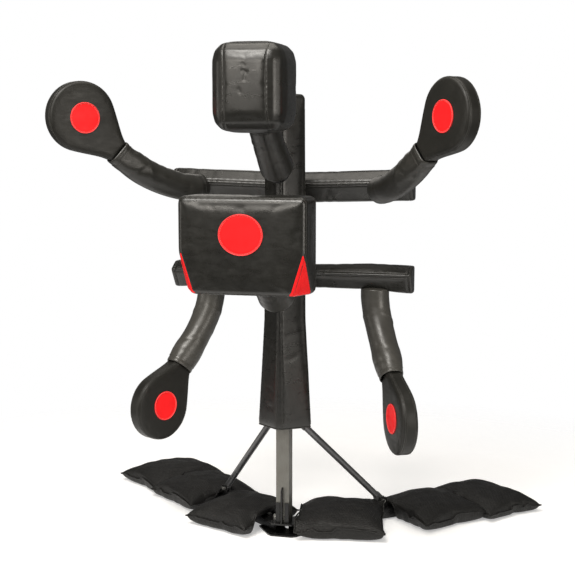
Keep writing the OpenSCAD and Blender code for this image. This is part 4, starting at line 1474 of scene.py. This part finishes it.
spring_piece("neck_coil", "neck_spring", NECK_P0, NECK_D0, NECK_J, NECK_D1, 9)
spring_piece("torso_coil", "torso_spring", TOR_P0, TOR_D0, TOR_J, TOR_D1, 11)
for side in ("right", "left"):
    spring_piece(f"arm_{side}_coil", f"arm_{side}_spring", ARM_P0, ARM_D0, ARM_J, ARM_U, 10, side == "left")
    spring_piece(f"leg_{side}_coil", f"leg_{side}_spring", LEG_P0, LEG_D0, LEG_J, LEG_U, 9, side == "left")


def bellows(t, a, centre, width, spread, amp, waves, phase=0.0):
    """Compression ripples on the inside of a bend, facing angle spread[0]."""
    da = (a - spread[0] + math.pi) % (2 * math.pi) - math.pi
    return amp * math.exp(-((da / spread[1]) ** 2)) * math.exp(-(((t - centre) / width) ** 2)) * math.sin(2 * math.pi * waves * t + phase)


# neck
neck_folds = fold_field(21, 16, 0.0016)
build_sleeve("neck_cover", "neck_sleeve", path(NECK_P0 + 0.052 * NECK_D0, NECK_D0, NECK_J - 0.014 * NECK_D1, NECK_D1),
             lambda t: (0.0605 - 0.009 * t, 0.0605 - 0.009 * t), np.array([1.0, 0, 0]), SLEEVE,
             lambda t, a, N, B: neck_folds(t, a) + 0.0006 * math.sin(5 * a + 1.0) + bellows(t, a, 0.5, 0.3, (1.57, 1.0), 0.0010, 7),
             dome=0.046, hem=(False, True), end_tree=head_tree, blend_line=(NECK_P0 + 0.02 * NECK_D0, NECK_J))
# belly
belly_folds = fold_field(22, 18, 0.0018)
build_sleeve("belly_cover", "torso_sleeve", path(TOR_P0 + 0.053 * TOR_D0, TOR_D0, TOR_J - 0.034 * TOR_D1, TOR_D1),
             lambda t: (0.0635 - 0.003 * t + 0.004 * (1 - t) ** 3, 0.0635 - 0.003 * t), np.array([1.0, 0, 0]), SLEEVE,
             lambda t, a, N, B: belly_folds(t, a) + 0.0008 * math.sin(4 * a + 0.4) + bellows(t, a, 0.5, 0.3, (-1.57, 1.0), 0.0010, 8),
             dome=0.048, hem=(False, True), end_tree=torso_tree, blend_line=(TOR_P0 + 0.02 * TOR_D0, TOR_J))


# arms: the far end closes round the paddle's flat neck
arm_w = np.array(limb_matrix(ARM_C, ARM_RZ, ARM_RY).to_3x3() @ Vector((1, 0, 0)))
leg_w = np.array(limb_matrix(LEG_C, LEG_RZ, LEG_RY).to_3x3() @ Vector((1, 0, 0)))


def arm_prof(t):
    e = smoothstep((t - 0.62) / 0.36)
    g = smoothstep((t - 0.965) / 0.035)
    return 0.0505 - 0.0050 * e - 0.0015 * g, 0.0500 - 0.0105 * e - 0.0050 * g, 2.0 + 1.3 * e + 0.6 * g


arm_folds = fold_field(23, 26, 0.0024)
for side in ("right", "left"):
    build_sleeve(f"arm_{side}_cover", f"arm_{side}_sleeve",
                 path(ARM_P0 + 0.010 * ARM_D0, ARM_D0, ARM_J + 0.009 * ARM_U, ARM_U), arm_prof, arm_w, SLEEVE,
                 lambda t, a, N, B: arm_folds(t, a) + 0.0008 * math.sin(3 * a + 0.7 + 2 * t) + bellows(t, a, 0.42, 0.22, (2.4, 0.9), 0.0022, 9),
                 start_tree=BAR_TREES["upper_bar_pad"], start_dir=(0, 1, 0), mirror=side == "left", blend_line=(ARM_P0, ARM_J))


def leg_prof(t):
    e = smoothstep((t - 0.70) / 0.30)
    w = math.exp(-((t - 0.80) / 0.13) ** 2)
    return 0.0525 - 0.003 * t + 0.0020 * e + 0.0055 * w, 0.0525 - 0.003 * t - 0.0075 * e + 0.0040 * w, 2.0 + 0.5 * e


leg_folds = fold_field(24, 16, 0.0030, slant=1.2)
for side in ("right", "left"):
    build_sleeve(f"leg_{side}_cover", f"leg_{side}_sleeve",
                 path(LEG_P0 + 0.001 * LEG_D0, LEG_D0, LEG_J + 0.020 * LEG_U, LEG_U), leg_prof, leg_w, LEG_SLEEVE_PAINTED_SHEEN,
                 lambda t, a, N, B: leg_folds(t, a) + 0.0010 * math.sin(3 * a + 1.9 * t * 3) + bellows(t, a, 0.5, 0.2, (0.3, 0.9), 0.0020, 7)
                 + 0.003 * smoothstep((t - 0.9) / 0.1) * math.sin(2 * a + 0.5),
                 start_z=0.9265, hem=(False, True), mirror=side == "left", blend_line=(LEG_P0, LEG_J))


# ------------------------------------------------------------------ sandbags
LEG_DIR = np.array([math.sin(math.radians(49)), math.cos(math.radians(49))])


def under(x, y):
    """Height of what lies under a bag at (x, y): the base legs and the hub."""
    ax = np.abs(x)
    s = ax * LEG_DIR[0] + y * LEG_DIR[1]
    d = np.abs(ax * LEG_DIR[1] - y * LEG_DIR[0])
    on_leg = smoothstep((0.052 - d) / 0.024) * smoothstep((0.985 - s) / 0.02) * smoothstep((s + 0.01) / 0.02)
    r = np.hypot(ax * 0.95, (y - 0.020) * 1.10)
    hub = smoothstep((0.138 - r) / 0.030)
    return np.maximum(on_leg * 0.0465, hub * 0.0530)


def pillow(seed, w, l, h):
    """Sand-filled sack: two sheets sewn round the edge, blown up by the cloth solver, then settled."""
    nx, ny = 44, 50
    rs = np.random.default_rng(seed)
    gx = np.linspace(-1, 1, nx + 1)
    gy = np.linspace(-1, 1, ny + 1)
    verts, faces, idx = [], [], {}
    for sgn in (1, -1):
        for i, u in enumerate(gx):
            for j, v in enumerate(gy):
                edge = i in (0, nx) or j in (0, ny)
                if edge and sgn == -1:
                    idx[sgn, i, j] = idx[1, i, j]
                    continue
                p = (1 - abs(u) ** 4) * (1 - abs(v) ** 4)
                # pulled-in sides between the corners
                x = u * w / 2 * (1 + 0.030 * v * v)
                y = v * l / 2 * (1 + 0.030 * u * u)
                z = 0.0 if edge else sgn * 0.30 * h * (0.12 + 0.88 * max(p, 0) ** 0.5)
                z += 0.0 if edge else 0.004 * noise.noise(Vector((x * 22 + seed, y * 22, sgn * 3.0)))
                idx[sgn, i, j] = len(verts)
                verts.append((x, y, z))
        for i in range(nx):
            for j in range(ny):
                q = (idx[sgn, i, j], idx[sgn, i + 1, j], idx[sgn, i + 1, j + 1], idx[sgn, i, j + 1])
                faces.append(q if sgn == 1 else tuple(reversed(q)))
    ob = new_object("bag_base", verts, faces, SACK)
    m = ob.modifiers.new("fill", "CLOTH")
    s = m.settings
    s.quality = 6
    s.mass = 0.2
    s.tension_stiffness = s.compression_stiffness = 40
    s.shear_stiffness = 12
    s.bending_stiffness = 0.15
    s.use_pressure = True
    s.uniform_pressure_force = 9.0
    s.effector_weights.gravity = 0
    m.collision_settings.use_collision = False
    m.point_cache.frame_start, m.point_cache.frame_end = 1, 26
    for fr_ in range(1, 27):
        scene.frame_set(fr_)
    dg = bpy.context.evaluated_depsgraph_get()
    e = ob.evaluated_get(dg)
    a = np.empty(len(e.data.vertices) * 3)
    e.data.vertices.foreach_get("co", a)
    ob.modifiers.clear()
    scene.frame_set(1)
    a = a.reshape(-1, 3)
    if np.isfinite(a).all():
        # smooth the puckers out a little, as coarse sand does
        rest = coords(ob)
        set_coords(ob, rest + 0.45 * (a - rest))
        relax(ob, 3, 0.5)
    seam = [idx[1, i, 0] for i in range(nx)] + [idx[1, nx, j] for j in range(ny)] + \
           [idx[1, i, ny] for i in range(nx, 0, -1)] + [idx[1, 0, j] for j in range(ny, 0, -1)]
    return ob, seam


BAGS = {
    "right_inner": (197, 108, 10, 336, 344, 106), "right_middle": (500, 346, 48.7, 320, 340, 96),
    "right_outer": (684, 550, 49, 276, 390, 86), "left_inner": (-192, 94, -24, 300, 330, 104),
    "left_middle": (-440, 357, -39, 310, 325, 98), "left_outer": (-648, 568, -40, 306, 362, 87),
}


def settle(name, spec, base, seam, turn, seed):
    cx, cy, ang, w, l, h = [float(x) for x in spec]
    cx, cy, w, l, h = cx * MM, cy * MM, w * MM, l * MM, h * MM
    ob = transformed_copy(base, "sandbag_" + name + "_sack", Matrix.Identity(4))
    c = coords(ob)
    lo, hi = c.min(0), c.max(0)
    c = (c - (lo + hi) / 2) / (hi - lo)            # unit box, centred
    if turn & 1:
        c[:, :2] = -c[:, :2]
    u, v, q = c[:, 0], c[:, 1], c[:, 2]
    a = math.radians(ang)
    x = cx + (u * w) * math.cos(a) - (v * l) * math.sin(a)
    y = cy + (u * w) * math.sin(a) + (v * l) * math.cos(a)
    ground = under(x, y)
    inner_w = smoothstep((0.5 - np.abs(u)) / 0.20) * smoothstep((0.5 - np.abs(v)) / 0.20)
    rs = np.array([noise.noise(Vector((p[0] * 7 + seed, p[1] * 7, 0.3))) for p in np.stack([x, y], 1)])
    rs2 = np.array([noise.noise(Vector((p[0] * 19 + seed, p[1] * 19, 5.3))) for p in np.stack([x, y], 1)])
    seam_h = 0.34 * h
    # upper sheet: from the seam up to the crown; lower sheet: from the seam down to what it lies on
    top_h = h * (0.99 + 0.05 * rs)
    dome = (np.clip(1 - np.abs(2 * u) ** 2.7, 0, 1) * np.clip(1 - np.abs(2 * v) ** 2.7, 0, 1)) ** 0.55
    up = np.clip(q * 2, 0, 1)
    dn = np.clip(-q * 2, 0, 1)
    z = np.where(q >= 0, seam_h + (top_h - seam_h) * (0.80 * dome + 0.20 * up ** 0.82), seam_h - (seam_h - ground) * (1 - (1 - dn) ** 2.6))
    # the rim droops to the ground between the supports, and rides over them
    rim = 1 - inner_w
    z = z + np.where(q >= -0.001, 0, 0)
    z = z + 0.0075 * rs2 * up
    z = np.maximum(z, ground + 0.0004 + 0.012 * (1 - dn) * (q < 0))
    z = z + 0.55 * ground * rim * (q >= -0.02) * (1 - up)
    hw = 0.047
    # clear of the post and its gussets
    near = (np.abs(x) < hw) & (y > -0.075) & (y < 0.075)
    x = np.where(near, np.sign(cx) * hw, x)
    set_coords(ob, np.stack([x, y, z], 1))
    relax(ob, 4, 0.5)
    c = coords(ob)
    g = under(c[:, 0], c[:, 1])
    c[:, 2] = np.maximum(c[:, 2], g * 0.98 + 0.0004)
    set_coords(ob, c)
    subdivide(ob, 1)
    # sewn hem along the edge seam
    n_base = len(base.data.vertices)
    P = c[np.array(seam)]
    cen = c.mean(0)
    out = P - cen
    out[:, 2] = 0
    out /= np.linalg.norm(out, axis=1)[:, None]
    flat = densify(list(P) + [P[0]], 0.006)[:-1]
    o2 = densify(list(P + out * 0.007) + [P[0] + out[0] * 0.007], 0.006)
    hem_v, hem_f = tube(P + out * 0.0016, 0.0030, 6, closed=True, squash=1.0)
    hem = new_object("sandbag_" + name + "_hem", hem_v, hem_f, SACK)
    hc = coords(hem)
    hc[:, 2] = np.maximum(hc[:, 2], under(hc[:, 0], hc[:, 1]) * 0.9 + 0.0004)
    set_coords(hem, hc)
    place(ob, "stand", "sandbag_cloth", "sandbag_" + name, pad=0.5)
    place(hem, "stand", "sandbag_cloth")
    return ob


bag_a, seam_a = pillow(31, 0.30, 0.34, 0.10)
bag_b, seam_b = pillow(57, 0.28, 0.38, 0.09)
for i, (name, spec) in enumerate(BAGS.items()):
    base, seam = (bag_a, seam_a) if i % 2 == 0 else (bag_b, seam_b)
    settle(name, spec, base, seam, i // 2, 3.7 * i + 1)
bpy.data.objects.remove(bag_a)
bpy.data.objects.remove(bag_b)

# --------------------------------------------------------------------- stage
FLOOR_GLOW = 0.36
AMBIENT = 0.14
ring_n = 96
fv = [(0, 0, -0.0002)] + [(R * math.cos(2 * math.pi * k / ring_n), R * math.sin(2 * math.pi * k / ring_n), -0.0002) for R in (1.2, 2.0, 2.8) for k in range(ring_n)]
ff = [(0, 1 + k, 1 + (k + 1) % ring_n) for k in range(ring_n)]
for r0 in (0, 1):
    ff += [(1 + r0 * ring_n + k, 1 + (r0 + 1) * ring_n + k, 1 + (r0 + 1) * ring_n + (k + 1) % ring_n, 1 + r0 * ring_n + (k + 1) % ring_n) for k in range(ring_n)]
FL = Net("floor_white", (0.80, 0.80, 0.80), 0.9, Specular_IOR_Level=0.05)
FL.b.inputs["Emission Color"].default_value = (1, 1, 1, 1)
FL.b.inputs["Emission Strength"].default_value = FLOOR_GLOW
vl = FL.n.new("ShaderNodeVectorMath")
vl.operation = "LENGTH"
FL.link(FL.tc.outputs["Object"], vl.inputs[0])
FL.link(FL.ramp(vl.outputs["Value"], 1.35, 2.5, 1.0, 0.0), FL.b.inputs["Alpha"])
floor = new_object("floor", fv, ff, FL.m, smooth=False)

# a white surround that lights the object only softly: plain white to the camera, a dim even white for the light it
# casts on the object
world = bpy.data.worlds.new("studio")
scene.world = world
world.use_nodes = True
wn = world.node_tree
bg = wn.nodes["Background"]
bg.inputs["Color"].default_value = (1, 1, 1, 1)
bg.inputs["Strength"].default_value = AMBIENT
white = wn.nodes.new("ShaderNodeBackground")
white.inputs["Color"].default_value = (1, 1, 1, 1)
lp = wn.nodes.new("ShaderNodeLightPath")
mx = wn.nodes.new("ShaderNodeMixShader")
wn.links.new(lp.outputs["Is Camera Ray"], mx.inputs[0])
wn.links.new(bg.outputs[0], mx.inputs[1])
wn.links.new(white.outputs[0], mx.inputs[2])
wn.links.new(mx.outputs[0], wn.nodes["World Output"].inputs[0])


def area(name, loc, target, size, power, size_y=None, colour=(1, 1, 1)):
    d = bpy.data.lights.new(name, "AREA")
    d.energy = power
    d.color = colour
    d.shape = "RECTANGLE"
    d.size = size
    d.size_y = size_y or size
    o = bpy.data.objects.new(name, d)
    scene.collection.objects.link(o)
    o.location = loc
    o.rotation_euler = (Vector(target) - Vector(loc)).to_track_quat("-Z", "Y").to_euler()
    return o


WARM = (1.0, 0.945, 0.865)
area("top_box", (0.0, 0.0, 3.9), (0, 0.0, 1.0), 2.2, 42, 1.8, WARM)
area("front_top_box", (-0.4, -2.9, 4.6), (0, -0.3, 1.1), 2.6, 270, 1.8, (1.0, 0.965, 0.91))
area("front_left_box", (-1.15, -4.3, 2.62), (0, -0.3, 1.6), 1.2, 62, 1.1, WARM)
area("left_fill", (-3.6, -1.9, 1.1), (0, 0, 0.9), 1.6, 26, 2.0, WARM)
area("right_box", (3.1, -2.1, 1.4), (0, 0, 1.0), 1.2, 56, 2.2, WARM)
area("back_rim", (-1.8, 3.4, 2.9), (0, 0, 1.1), 2.0, 10, 1.2, WARM)

scene.view_settings.view_transform = "Standard"
scene.view_settings.look = "None"

cam = bpy.data.cameras.new("camera")
cam.sensor_width = 36
cam.sensor_fit = "AUTO"
cam.lens = 75.67
cam.shift_x = 0.0055
cam.clip_end = 60
camera = bpy.data.objects.new("camera", cam)
scene.collection.objects.link(camera)
camera.location = (1.1716, -4.3725, 1.4834)
camera.rotation_euler = (math.radians(82.813), 0, math.radians(15))
scene.camera = camera
